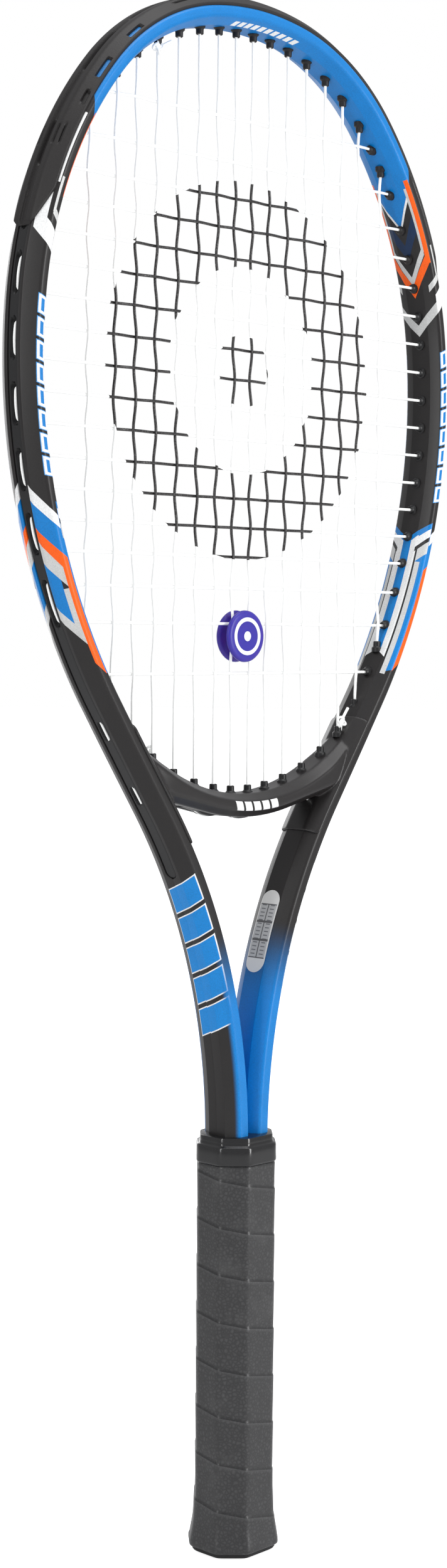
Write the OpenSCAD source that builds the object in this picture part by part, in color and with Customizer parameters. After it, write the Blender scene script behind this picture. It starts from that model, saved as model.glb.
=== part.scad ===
// Tennis racket: one bent hollow hoop with a moulded throat bridge, strung with
// separate main and cross strings, on a built-up handle with a wound grip.
// Z runs up the racket from the butt, X across the head, and the front face looks to -Y.

/* [Overall] */
// Length from the butt face to the outside of the bumper
racket_len = 686; // [660:1:830]
// Inside width of the head
head_w = 251.5; // [215:0.5:305]

/* [Hoop shape] */
// Apex bend radius over the head's half width
top_bend = 1.18; // [1:0.02:1.4]
// Shoulder bend radius over the half width
shoulder_bend = 0.79; // [0.7:0.01:0.9]
// Side bend radius over the half width
side_bend = 1.34; // [1.2:0.02:1.6]
// Flank bend radius over the half width
flank_bend = 1.9; // [1.6:0.05:2.2]
// Turn of the apex bend on each side, degrees
top_turn = 10.2; // [6:0.2:14]
// Turn of the shoulder bend, degrees
shoulder_turn = 37.8; // [32:0.2:42]
// Turn of the side bend, degrees
side_turn = 36.8; // [32:0.2:42]
// Turn of the flank bend, degrees
flank_turn = 40.4; // [36:0.2:44]
// Radius of the reverse bend where the arms become the shafts
throat_r = 257; // [200:1:300]

/* [Tube] */
// Width of the tube in the string plane
tube_w = 12; // [10.5:0.1:14.5]
// Beam, the depth of the tube from front to back
beam = 22.4; // [20:0.1:27]
// Height of the flat on the tube's inner and outer sides
flat_h = 9.6; // [8.5:0.1:11.5]
// Width of the narrow front and back nose
nose_w = 5.6; // [4:0.1:7]
// Wall of the tube
wall = 0.9; // [0.7:0.05:1.6]
// Width of the string groove round the outside
groove_w = 6.3; // [5.6:0.1:7.6]
// Depth of the string groove
groove_d = 1.6; // [1.2:0.1:2]
// Space between the two shafts where they run side by side
shaft_gap = 0.6; // [0.2:0.1:3]

/* [Strings] */
// String diameter
string_d = 1.3; // [1.1:0.05:1.6]
// Spacing of the mains outwards from the middle, in proportion
main_gaps = [5.5, 11, 12.1, 12.7, 12.9, 12.2, 12, 15.6];
// Place of the outermost main over the head's half width
main_reach = 0.747; // [0.7:0.005:0.77]
// Spacing of the crosses downwards, in proportion
cross_gaps = [19.5, 15.8, 13.4, 13.4, 13.4, 13.4, 13.4, 13.4, 13.3, 13.3, 13.3, 13, 13, 13, 14, 15.7, 22];
// First cross below the top, over the head's length
cross_top = 0.117; // [0.1:0.001:0.13]
// Last cross above the bridge, over the head's length
cross_foot = 0.157; // [0.14:0.001:0.18]

/* [Grommets and bumper] */
// Outside diameter of a grommet barrel
barrel_d = 3.4; // [3:0.1:4.2]
// Bore of a grommet barrel
bore_d = 1.9; // [1.7:0.05:2.4]
// How far a barrel stands proud inside the head
barrel_proud = 3.4; // [2:0.1:5]
// Floor of the strip under the string
strip_floor = 0.6; // [0.4:0.1:0.9]
// Skin of the bumper guard outside the tube
bumper_t = 1.2; // [0.8:0.1:2]
// How far round the head the bumper reaches from the apex, degrees
bumper_turn = 71; // [60:1:76]

/* [Throat bridge] */
// Height of the bridge bar
bridge_h = 10.4; // [9:0.1:13]
// How far the bridge bar sags below the smooth oval
bridge_drop = 2; // [0:0.1:4]
// Skin of the saddles round the tube
saddle_t = 0.8; // [0.6:0.1:1.5]
// Length of the saddles down the reverse bend, degrees
saddle_turn = 5.4; // [3:0.1:8]

/* [Handle] */
// Width of the finished grip
grip_w = 35; // [33:0.1:42]
// Depth of the finished grip
grip_d = 32; // [30:0.1:39]
// Thickness of the wound grip tape
tape_t = 1.8; // [1.4:0.1:2.4]
// Height of the top edge of the grip
grip_top = 175; // [160:1:215]
// Extra width at the butt flare
flare = 6; // [3:0.1:8]
// Height of the butt flare
flare_h = 30; // [24:1:40]
// Wall of the butt cap
cap_t = 1.6; // [1.2:0.1:2.2]
// Diameter of the badge in the butt
badge_d = 20; // [16:0.5:24]
// Top edge of the finishing tape above the grip
finish_h = 9; // [6:0.5:12]

/* [Dampener] */
// Diameter of the two dampener discs
damper_d = 23; // [19:0.5:28]
// Thickness of each disc
damper_t = 3; // [2:0.1:4]
// Running clearance round the strings
slack = 0.35; // [0.3:0.05:0.6]

/* [Rating label] */
// Length of the label
label_len = 35; // [28:1:42]
// Height of the label's lower end
label_z = 252; // [248:1:300]
// Thickness of the label
label_t = 0.15; // [0.1:0.05:0.3]

/* [Hidden] */
$fn = 48;

eps = 0.01;
ring_sides = 6;
span = 400;

// Hoop centreline: four tangent bends from the apex down, then a straight arm
bends = [top_bend, shoulder_bend, side_bend, flank_bend];
turns = [top_turn, shoulder_turn, side_turn, flank_turn];
function total(v, n) = n <= 0 ? 0 : v[n - 1] + total(v, n - 1);
heads = [for (i = [0:4]) total(turns, i)];
function dir(h) = [sin(h), cos(h)];
function unit_centre(i) =
    i == 0 ? [0, -bends[0]] : unit_centre(i - 1) + (bends[i - 1] - bends[i]) * dir(heads[i]);
half = (head_w + tube_w) / 2;
scale_up = half / (unit_centre(3)[0] + bends[3]);
apex_z = racket_len - bumper_t - tube_w / 2;
function centre(i) = [0, apex_z] + scale_up * unit_centre(i);
function radius(i) = scale_up * bends[i];

arm_head = heads[4];
arm_turn = arm_head - 90;
arm_start = centre(3) + radius(3) * dir(arm_head);
shaft_x = (tube_w + shaft_gap) / 2;
arm_len = (arm_start[0] - throat_r * (1 - cos(arm_turn)) - shaft_x) / sin(arm_turn);
arm_way = [-sin(arm_turn), -cos(arm_turn)];
arm_end = arm_start + arm_len * arm_way;
throat_c = arm_end + throat_r * dir(arm_head);

// Offsets from the centreline, outwards
inner_wall = -tube_w / 2;
groove_bed = tube_w / 2 - groove_d;
string_bed = groove_bed + strip_floor + string_d / 2 + 0.05;

// Throat bridge: an arc that carries the inside of the hoop on under the strings
reach = -centre(3)[0] / sin(arm_head);
oval_z = centre(3)[1] + reach * cos(arm_head);
oval_r = radius(3) + inner_wall - reach;
bridge_r = oval_r + bridge_drop;
bridge_z = oval_z;
bridge_top_z = bridge_z - bridge_r;
meet_x = arm_start[0] + inner_wall * sin(arm_head);
head_l = apex_z + inner_wall - bridge_top_z;
function bridge_arc(x, extra) = bridge_z - sqrt(pow(bridge_r + extra, 2) - x * x);

// Heights and widths of the hoop at an offset from its centreline
function hoop_x(z, off, i = 0) =
    let (c = centre(i), r = radius(i) + off, q = (z - c[1]) / r, h = abs(q) <= 1 ? acos(q) : -1)
    (i == 3 || (h >= heads[i] && h <= heads[i + 1])) ? c[0] + r * sin(h) : hoop_x(z, off, i + 1);
function hoop_top(x, off, i = 0) =
    let (c = centre(i), r = radius(i) + off, q = (x - c[0]) / r, h = abs(q) <= 1 ? asin(q) : -1)
    (i == 3 || (h >= heads[i] && h <= heads[i + 1])) ? c[1] + r * cos(h) : hoop_top(x, off, i + 1);
function hoop_foot(x, off) =
    let (
        c = centre(3), r = radius(3) + off, h = 180 - asin(min(1, (x - c[0]) / r)),
        from = arm_start + off * dir(arm_head), t = (x - from[0]) / arm_way[0]
    )
    h <= arm_head ? c[1] + r * cos(h)
    : t <= arm_len ? from[1] + t * arm_way[1]
    : throat_c[1] + (throat_r - off) * sin(acos((throat_c[0] - x) / (throat_r - off)));

// String places
main_n = len(main_gaps);
cross_n = len(cross_gaps) + 1;
main_scale = main_reach * head_w / 2 / total(main_gaps, main_n);
half_mains = [for (i = [1:main_n]) main_scale * total(main_gaps, i)];
main_x = concat([for (i = [main_n - 1:-1:0]) -half_mains[i]], half_mains);
cross_first = apex_z + inner_wall - cross_top * head_l;
cross_last = bridge_top_z + cross_foot * head_l;
cross_scale = (cross_first - cross_last) / total(cross_gaps, cross_n - 1);
cross_z = [for (i = [0:cross_n - 1]) cross_first - cross_scale * total(cross_gaps, i)];
bridge_mains = 4;
function under_bridge(x) = abs(x) < half_mains[bridge_mains - 1] + 1;
bed_bridge = bridge_h - groove_d + strip_floor + string_d / 2 + 0.05;
function main_in(x) = abs(x) < meet_x ? bridge_arc(x, 0) : hoop_foot(abs(x), inner_wall);
function main_out(x) = under_bridge(x) ? bridge_arc(x, bed_bridge) : hoop_foot(abs(x), string_bed);
bumper_z = centre(2)[1] + radius(2) * cos(bumper_turn);

// Weave: the string steps over and under by its own radius at each crossing
lift = string_d / 2 + 0.05;
function weave(i, j) = (i + j) % 2 == 0 ? lift : -lift;
function unit(v) = v / norm(v);
corner = 1.3;
function bend_in(out, back, next) =
    let (a = [back[0] - out[0], 0, back[1] - out[1]], b = [next[0] - out[0], 0, next[1] - out[1]])
    [[out[0], 0, out[1]] + corner * unit(a), [out[0], 0, out[1]] + corner * unit(b)];
function flip(v) = [for (i = [len(v) - 1:-1:0]) v[i]];

// One main from its foot to its top, with the places where it turns into the groove
function main_run(j) =
    let (
        x = main_x[j], up = j % 2 == 0,
        foot = [x, main_out(x)], top = [x, hoop_top(abs(x), string_bed)],
        foot_next = let (n = up ? j - 1 : j + 1) n < 0 || n >= 2 * main_n ? foot - [0, 1]
            : [main_x[n], main_out(main_x[n])],
        top_next = let (n = up ? j + 1 : j - 1) [main_x[n], hoop_top(abs(main_x[n]), string_bed)],
        low = bend_in(foot, top, foot_next), high = bend_in(top, foot, top_next),
        woven = [for (i = [cross_n - 1:-1:0])
            if (abs(x) < hoop_x(cross_z[i], inner_wall) - 3) [x, weave(i, j), cross_z[i]]],
        line = concat([low[1], low[0], [x, 0, main_in(x)]], woven,
            [[x, 0, hoop_top(abs(x), inner_wall)], high[0], high[1]])
    )
    up ? line : flip(line);
function cross_run(i) =
    let (
        z = cross_z[i], right = i % 2 == 0, w = hoop_x(z, string_bed),
        n_left = right ? i - 1 : i + 1, n_right = right ? i + 1 : i - 1,
        left_next = n_left < 0 || n_left >= cross_n ? [-w - 1, z]
            : [-hoop_x(cross_z[n_left], string_bed), cross_z[n_left]],
        right_next = [hoop_x(cross_z[n_right], string_bed), cross_z[n_right]],
        a = bend_in([-w, z], [w, z], left_next), b = bend_in([w, z], [-w, z], right_next),
        inside = hoop_x(z, inner_wall),
        woven = [for (j = [0:2 * main_n - 1])
            if (abs(main_x[j]) < inside - 3) [main_x[j], -weave(i, j), z]],
        line = concat([a[1], a[0], [-inside, 0, z]], woven, [[inside, 0, z], b[0], b[1]])
    )
    right ? line : flip(line);

// Sweeps a string along its points, with mitred rings in the string plane
module string_along(pts) {
    n = len(pts);
    function flat(v) = unit([v[0], 0, v[2]]);
    way = [for (i = [0:n - 2]) flat(pts[i + 1] - pts[i])];
    function before(i) = way[max(0, i - 1)];
    function after(i) = way[min(n - 2, i)];
    function side(i) = let (t = unit(before(i) + after(i))) [-t[2], 0, t[0]];
    function mitre(i) = 1 / max(0.5, sqrt((1 + before(i) * after(i)) / 2));
    r = string_d / 2;
    rings = [for (i = [0:n - 1]) for (k = [0:ring_sides - 1])
        let (a = 360 * k / ring_sides)
        pts[i] + r * (cos(a) * mitre(i) * side(i) + sin(a) * [0, 1, 0])];
    function at(i, k) = i * ring_sides + k % ring_sides;
    walls = [for (i = [0:n - 2]) for (k = [0:ring_sides - 1]) for (t = [0, 1])
        t == 0 ? [at(i, k), at(i, k + 1), at(i + 1, k)] : [at(i, k + 1), at(i + 1, k + 1), at(i + 1, k)]];
    ends = [[for (k = [ring_sides - 1:-1:0]) at(0, k)], [for (k = [0:ring_sides - 1]) at(n - 1, k)]];
    polyhedron(rings, concat(walls, ends));
}

// Tube section: flat sides, chamfers and a narrow nose, drawn about the centreline
module tube_section(w = tube_w, d = beam, f = flat_h, n = nose_w)
    polygon([
        [w / 2, -f / 2], [w / 2, f / 2], [n / 2, d / 2], [-n / 2, d / 2],
        [-w / 2, f / 2], [-w / 2, -f / 2], [-n / 2, -d / 2], [n / 2, -d / 2]
    ]);
hollow_w = tube_w - 2 * wall - groove_d;
module hollow_section()
    translate([-groove_d / 2, 0])
        tube_section(hollow_w, beam - 2 * wall, flat_h - wall, nose_w - wall);

// Sweeps along the hoop: a bend between two headings, the straight arm, the reverse bend, a shaft.
// Neighbours stop just short of each other, and a hair-thicker band joins them.
seam = 0.15;
band_len = 1;
band_scale = 1.004;
module band(p, h)
    translate([p[0], 0, p[1]]) rotate([0, 90 + h, 0])
        linear_extrude(band_len, center = true) mirror([1, 0]) scale(band_scale) children();
module bend(c, r, from, to) {
    short = seam / r * 180 / PI;
    translate([c[0], 0, c[1]]) rotate([90, 0, 0]) rotate([0, 0, 90 - to + short])
        rotate_extrude(angle = to - from - 2 * short) translate([r, 0]) children();
}
module arm() {
    translate([arm_start[0], 0, arm_start[1]]) rotate([0, 90 + arm_head, 0]) translate([0, 0, seam])
        linear_extrude(arm_len - 2 * seam) mirror([1, 0]) children();
    band(arm_end, arm_head) children();
}
module reverse_bend(from = 0, to = arm_turn) {
    short = seam / throat_r * 180 / PI;
    translate([throat_c[0], 0, throat_c[1]]) rotate([90, 0, 0]) rotate([0, 0, 180 - to + short])
        rotate_extrude(angle = to - from - 2 * short) translate([throat_r, 0]) mirror([1, 0]) children();
    if (from == 0) band([shaft_x, throat_c[1]], 90) children();
}
module shaft(foot)
    translate([shaft_x, 0, foot]) linear_extrude(throat_c[1] - foot - seam) children();
module both() {
    children();
    mirror([1, 0, 0]) children();
}
module side_bends(from, to) {
    for (i = [1:3]) {
        lo = max(from, heads[i]);
        hi = min(to, heads[i + 1]);
        if (hi > lo) bend(centre(i), radius(i), lo, hi) children();
    }
    for (i = [1:4])
        if (heads[i] >= from && heads[i] <= to)
            band(centre(i - 1) + radius(i - 1) * dir(heads[i]), heads[i]) children();
}
shaft_foot = 24;
module whole_hoop(foot) {
    bend(centre(0), radius(0), -top_turn, top_turn) children();
    both() {
        side_bends(top_turn, arm_head) children();
        arm() children();
        reverse_bend() children();
        shaft(foot) children();
    }
}
module solid_hoop() whole_hoop(shaft_foot) tube_section();
module solid_arms() both() {
    side_bends(heads[3] + 20, arm_head) tube_section();
    arm() tube_section();
    reverse_bend() tube_section();
    shaft(shaft_foot) tube_section();
}

// String holes of one diameter, through the hoop, its strips and the bridge
module cross_holes(d, from = 0, to = cross_n - 1)
    for (i = [from:to]) translate([0, 0, cross_z[i]]) rotate([0, 90, 0])
        cylinder(d = d, h = span, center = true);
module top_holes(d)
    for (x = main_x) translate([x, 0, centre(0)[1]]) cylinder(d = d, h = span);
module foot_holes(d, outer, inner)
    for (x = main_x)
        if (under_bridge(x) ? inner : outer)
            translate([x, 0, main_out(x) - 8]) cylinder(d = d, h = main_in(x) - main_out(x) + 30);

groove_turn = arm_turn - 8;
module groove_section(w = groove_w)
    translate([groove_bed, -w / 2]) square([groove_d + 2, w]);
module frame_tube() {
    hole = barrel_d + 0.1;
    color([0.2, 0.2, 0.21]) difference() {
        solid_hoop();
        whole_hoop(shaft_foot - 1) hollow_section();
        bend(centre(0), radius(0), -top_turn, top_turn) groove_section();
        both() {
            side_bends(top_turn, arm_head) groove_section();
            arm() groove_section();
            reverse_bend(groove_turn) groove_section();
        }
        cross_holes(hole);
        top_holes(hole);
        foot_holes(hole, true, false);
    }
}

// Bridge bar between two saddles, each a C-shaped skin round the inner side of an arm
saddle_out = 2.5;
module saddle_section() {
    deep = beam / 2 + saddle_t;
    back = -tube_w / 2 - saddle_t;
    polygon([
        [saddle_out, -deep], [back, -deep], [back, deep], [saddle_out, deep], [saddle_out, beam / 2],
        [-nose_w / 2, beam / 2], [-tube_w / 2, flat_h / 2], [-tube_w / 2, -flat_h / 2],
        [-nose_w / 2, -beam / 2], [saddle_out, -beam / 2]
    ]);
}
module bridge_ring(r0, r1, w)
    translate([0, 0, bridge_z]) rotate([90, 0, 0]) difference() {
        cylinder(r = r1, h = w, center = true);
        cylinder(r = r0, h = w + 1, center = true);
    }
// Everything between the middles of the two saddles' skins
module between_arms(w) {
    off = inner_wall - saddle_t / 2;
    right = [for (t = [0:0.25:1]) arm_start + t * arm_len * arm_way + off * dir(arm_head)];
    low = [for (t = [0.2:0.2:0.6]) let (a = arm_turn * (1 - t))
        throat_c + (throat_r - off) * [-cos(a), sin(a)]];
    side = concat(right, low);
    rotate([90, 0, 0]) linear_extrude(w, center = true)
        polygon(concat(side, [for (i = [len(side) - 1:-1:0]) [-side[i][0], side[i][1]]]));
}
module throat_bridge() {
    depth = beam + 2 * saddle_t - 0.4;
    color([0.23, 0.22, 0.22]) difference() {
        union() {
            intersection() {
                bridge_ring(bridge_r, bridge_r + bridge_h, depth);
                between_arms(depth + 2);
            }
            both() {
                arm() saddle_section();
                reverse_bend(arm_turn - saddle_turn) saddle_section();
            }
        }
        bridge_ring(bridge_r + bridge_h - groove_d, bridge_r + bridge_h + 6, groove_w);
        foot_holes(barrel_d + 0.1, true, true);
    }
}

// Strip lying in the groove, with a channel for the string
strip_w = groove_w - 0.3;
channel_w = string_d + 1.7;
module strip_section(proud = 0)
    polygon([
        [groove_bed, -strip_w / 2], [tube_w / 2 + proud, -strip_w / 2], [tube_w / 2 + proud, -channel_w / 2],
        [groove_bed + strip_floor, -channel_w / 2], [groove_bed + strip_floor, channel_w / 2],
        [tube_w / 2 + proud, channel_w / 2], [tube_w / 2 + proud, strip_w / 2], [groove_bed, strip_w / 2]
    ]);
// A barrel along X from the groove bed to inside the head, and one along Z
module side_barrel(z)
    translate([hoop_x(z, inner_wall) - barrel_proud, 0, z]) rotate([0, 90, 0])
        cylinder(d = barrel_d, h = hoop_x(z, groove_bed) + 0.4 - hoop_x(z, inner_wall) + barrel_proud);
module standing_barrel(x, from, to)
    translate([x, 0, from]) cylinder(d = barrel_d, h = to - from);
function bumper_crosses() = len([for (z = cross_z) if (z > bumper_z) z]);

bumper_edge = 0.75;
module bumper_section() {
    flank = [nose_w / 2 - tube_w / 2, beam / 2 - flat_h / 2];
    way = unit(flank);
    skin = bumper_t * [way[1], -way[0]];
    low = [tube_w / 2, flat_h / 2];
    tip = low + bumper_edge * flank;
    out = tube_w / 2 + bumper_t;
    upper = [
        [groove_bed + strip_floor, channel_w / 2], [out, channel_w / 2], [out, flat_h / 2 + 0.3],
        tip + skin, tip, low, [tube_w / 2, strip_w / 2], [groove_bed, strip_w / 2]
    ];
    polygon(concat(upper, [for (i = [len(upper) - 1:-1:0]) [upper[i][0], -upper[i][1]]]));
}
module bumper_guard() {
    n = bumper_crosses();
    color([0.16, 0.16, 0.17]) difference() {
        union() {
            bend(centre(0), radius(0), -top_turn, top_turn) bumper_section();
            both() side_bends(top_turn, bumper_turn) bumper_section();
            both() for (i = [0:n - 1]) side_barrel(cross_z[i]);
            for (x = main_x)
                standing_barrel(x, hoop_top(abs(x), inner_wall) - barrel_proud, hoop_top(abs(x), groove_bed) + 0.4);
        }
        cross_holes(bore_d, 0, n - 1);
        top_holes(bore_d);
    }
}
module grommet_strip() {
    n = bumper_crosses();
    color([0.13, 0.12, 0.12]) difference() {
        union() {
            side_bends(bumper_turn + 0.3, arm_head) strip_section();
            arm() strip_section();
            reverse_bend(groove_turn + 0.3) strip_section();
            for (i = [n:cross_n - 1]) side_barrel(cross_z[i]);
            for (x = half_mains)
                if (!under_bridge(x))
                    standing_barrel(x, hoop_foot(x, groove_bed + 0.2), main_in(x) + barrel_proud);
        }
        cross_holes(bore_d, n, cross_n - 1);
        foot_holes(bore_d, true, false);
    }
}
module grommet_strip_right() grommet_strip();
module grommet_strip_left() mirror([1, 0, 0]) grommet_strip();
strip_turn = asin((half_mains[bridge_mains - 1] + 3.4) / (bridge_r + bridge_h));
module grommet_strip_bridge() {
    bed = bridge_r + bridge_h - groove_d;
    color([0.13, 0.12, 0.12]) difference() {
        union() {
            translate([0, 0, bridge_z]) rotate([90, 0, 0]) rotate([0, 0, -90 - strip_turn])
                rotate_extrude(angle = 2 * strip_turn)
                    translate([bed - groove_bed, 0]) strip_section(0.8);
            for (x = main_x)
                if (under_bridge(x))
                    standing_barrel(x, bridge_arc(x, bridge_h - groove_d + 0.2), main_in(x) + barrel_proud);
        }
        foot_holes(bore_d, false, true);
    }
}

module main_string() color([0.93, 0.94, 0.95])
    string_along([for (j = [0:2 * main_n - 1]) each main_run(j)]);
module cross_string() color([0.9, 0.92, 0.94])
    string_along([for (i = [0:cross_n - 1]) each cross_run(i)]);

// Dampener: two discs on a core that sits between the middle mains, under the last cross but one
core_d = 2 * (half_mains[0] - string_d / 2 - slack);
damper_z = cross_z[cross_n - 2] - string_d / 2 - slack - core_d / 2;
disc_gap = 2 * (lift + string_d / 2 + slack);
module dampener() color([0.2, 0.17, 0.6])
    translate([0, 0, damper_z]) rotate([90, 0, 0]) {
        cylinder(d = core_d, h = disc_gap + 1, center = true);
        for (s = [0, 1]) mirror([0, 0, s]) translate([0, 0, disc_gap / 2]) {
            cylinder(d = damper_d, h = damper_t * 0.6);
            translate([0, 0, damper_t * 0.6]) cylinder(d1 = damper_d, d2 = damper_d - 3, h = damper_t * 0.4);
        }
    }

// Rating label wrapped over the edge between the right shaft's inner side and its front chamfer
module rating_label() {
    a0 = asin((label_z - throat_c[1]) / throat_r);
    a1 = asin((label_z + label_len - throat_c[1]) / throat_r);
    chamfer = [tube_w / 2 - nose_w / 2, beam / 2 - flat_h / 2];
    way = unit(chamfer);
    skin = label_t * [-way[1], way[0]];
    edge = [-tube_w / 2, flat_h / 2];
    far = edge + 0.7 * chamfer;
    color([0.93, 0.93, 0.92]) reverse_bend(a0, a1)
        polygon([
            [edge[0], 0.3], [edge[0] - label_t, 0.3], [edge[0] - label_t, edge[1] + 0.05],
            far + skin, far, edge
        ]);
}

// Handle section: an octagon with wide front and back faces
function octagon(grow = 0) =
    let (w = grip_w / 2 + grow, d = grip_d / 2 + grow, a = grip_w * 0.243 + grow * 0.42, b = grip_d * 0.216 + grow * 0.42)
    [[w, b], [a, d], [-a, d], [-w, b], [-w, -b], [-a, -d], [a, -d], [w, -b]];
module slab(z, h, grow) translate([0, 0, z]) linear_extrude(h) polygon(octagon(grow));
// Outer form of the handle with its butt flare, grown or shrunk, between two heights
module handle_form(grow, from, to) {
    rim = 2;
    mid = flare_h * 0.45;
    slab(flare_h, to - flare_h, grow);
    hull() {
        slab(flare_h, eps, grow);
        slab(mid, eps, grow + flare * 0.14);
    }
    hull() {
        slab(mid, eps, grow + flare * 0.14);
        slab(rim + from, eps, grow + flare / 2);
    }
    if (from < eps) hull() {
        slab(rim, eps, grow + flare / 2);
        slab(0, eps, grow + flare / 2 - rim / 2);
    }
}
cap_foot = 3;
cap_top = 24;
pallet_foot = cap_foot;
module staple(w, reach, grow = 0) {
    wire = 0.7 + 2 * grow;
    leg = reach + grow;
    translate([0, -leg, 0]) {
        for (s = [-1, 1]) translate([s * w / 2, leg / 2, 0]) cube([wire, leg, wire], center = true);
        translate([0, leg - wire / 2 + grow, 0]) cube([w + wire, wire, wire], center = true);
    }
}
// Two staples hold the cap to the pallet, on the narrow sides, and one holds the tape's end.
// Their legs stop short of the shafts inside.
staple_z = 20;
leg_gap = 0.4;
cap_side = grip_w / 2 - tape_t + flare * 0.08;
tape_side = grip_d / 2 - tape_t;
module cap_staples(grow = 0)
    both() translate([-cap_side, 0, staple_z]) rotate([0, 0, 90])
        staple(7, cap_side - shaft_x - tube_w / 2 - leg_gap, grow);
module tape_staple(grow = 0)
    translate([0, tape_side, grip_top - 10]) staple(8, tape_side - beam / 2 - leg_gap, grow);

module pallet(side) difference() {
    intersection() {
        translate([0, 0, pallet_foot]) linear_extrude(grip_top - pallet_foot) polygon(octagon(-tape_t));
        translate([-grip_w, side > 0 ? 0 : -grip_d, 0]) cube([2 * grip_w, grip_d, grip_top]);
    }
    solid_arms();
    translate([0, 0, -1]) butt_cap_shell();
    butt_cap_shell();
    cap_staples(0.05);
    tape_staple(0.05);
}
// Space kept by the butt cap: a cup over the pallet's foot
module butt_cap_shell() difference() {
    slab(0, cap_top, 1);
    translate([0, 0, cap_foot]) linear_extrude(cap_top) polygon(octagon(-tape_t - cap_t));
}
module pallet_front() color([0.3, 0.3, 0.3]) pallet(-1);
module pallet_back() color([0.33, 0.33, 0.33]) pallet(1);
module butt_cap() color([0.1, 0.1, 0.1]) difference() {
    intersection() {
        handle_form(-tape_t, 0, grip_top);
        slab(0, cap_top, 20);
    }
    translate([0, 0, cap_foot]) linear_extrude(cap_top) polygon(octagon(-tape_t - cap_t));
    translate([0, 0, -1]) cylinder(d = badge_d + 0.1, h = 2.2);
    cap_staples(0.05);
}
module butt_staples() color("silver") cap_staples();
module butt_badge() color([0.14, 0.14, 0.16]) cylinder(d = badge_d, h = 1.2);
tape_foot = 2.5;
module grip_tape() color([0.27, 0.28, 0.28]) difference() {
    intersection() {
        handle_form(0, 0, grip_top);
        slab(tape_foot, grip_top - tape_foot, 20);
    }
    handle_form(-tape_t, 0, grip_top + 1);
}
module grip_staple() color("silver") tape_staple();
module finishing_tape() color([0.05, 0.05, 0.05]) difference() {
    union() {
        slab(grip_top - 3, finish_h - 1, 0.3);
        slab(grip_top - 3 + finish_h - 1 - eps, 4 + eps, -1.2);
    }
    slab(grip_top - 4, 4, 0);
    solid_arms();
}

frame_tube();
throat_bridge();
bumper_guard();
grommet_strip_left();
grommet_strip_right();
grommet_strip_bridge();
main_string();
cross_string();
dampener();
rating_label();
pallet_front();
pallet_back();
butt_cap();
butt_staples();
butt_badge();
grip_tape();
grip_staple();
finishing_tape();
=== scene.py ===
import math
import bpy
import numpy as np
from mathutils import Euler, Matrix, Vector


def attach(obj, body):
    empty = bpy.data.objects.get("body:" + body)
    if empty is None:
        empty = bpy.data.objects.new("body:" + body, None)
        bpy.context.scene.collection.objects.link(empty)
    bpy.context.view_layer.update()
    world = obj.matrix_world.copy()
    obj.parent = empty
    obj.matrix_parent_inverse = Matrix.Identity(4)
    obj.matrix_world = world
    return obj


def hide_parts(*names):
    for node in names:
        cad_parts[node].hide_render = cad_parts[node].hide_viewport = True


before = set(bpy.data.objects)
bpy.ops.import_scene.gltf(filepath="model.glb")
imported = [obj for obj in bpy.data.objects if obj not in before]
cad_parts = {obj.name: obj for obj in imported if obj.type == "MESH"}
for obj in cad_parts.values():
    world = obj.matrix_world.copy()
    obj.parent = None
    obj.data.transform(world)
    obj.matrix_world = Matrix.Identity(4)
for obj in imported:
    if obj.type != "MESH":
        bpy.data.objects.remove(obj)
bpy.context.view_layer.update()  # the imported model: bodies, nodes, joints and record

print("racket frame loaded")

mm = 0.001
toMm = 1000.0  # metres to millimetres


# Smoothstep of w from 0 to 1: w^2 (3 - 2 w).
def ease(w):
    return w * w * (3 - 2 * w)


# Quarter circle from 0 to 1: sqrt(1 - (1 - w)^2).
def quarter(w):
    return np.sqrt(1 - (1 - w) ** 2)


# Mean of each value and its twelve neighbours, with the ends held.
def runningMean(values):
    return np.convolve(np.pad(values, 6, mode="edge"), np.ones(13) / 13, mode="valid")


# Angles evenly round a circle.
def circle(sides):
    return np.linspace(0, 2 * math.pi, sides, endpoint=False)


# Quadratic curve from a to b with control point c: (1 - w)^2 a + 2 w (1 - w) c + w^2 b.
def curveTo(a, c, b, w):
    return (1 - w) ** 2 * a + 2 * w * (1 - w) * c + w ** 2 * b

# the hoop's centreline and the tube's section

hoop = dict(
    length=0.686, bumper=0.0012, insideWidth=0.2515, tubeWidth=0.012,
    bends=(1.18, 0.79, 1.34, 1.9),  # apex, shoulder, side and flank, over the half width
    turns=(10.2, 37.8, 36.8, 40.4),  # degrees that each bend takes up
    throatRadius=0.257, shaftGap=0.0006, shaftFoot=0.024,
)


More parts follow.
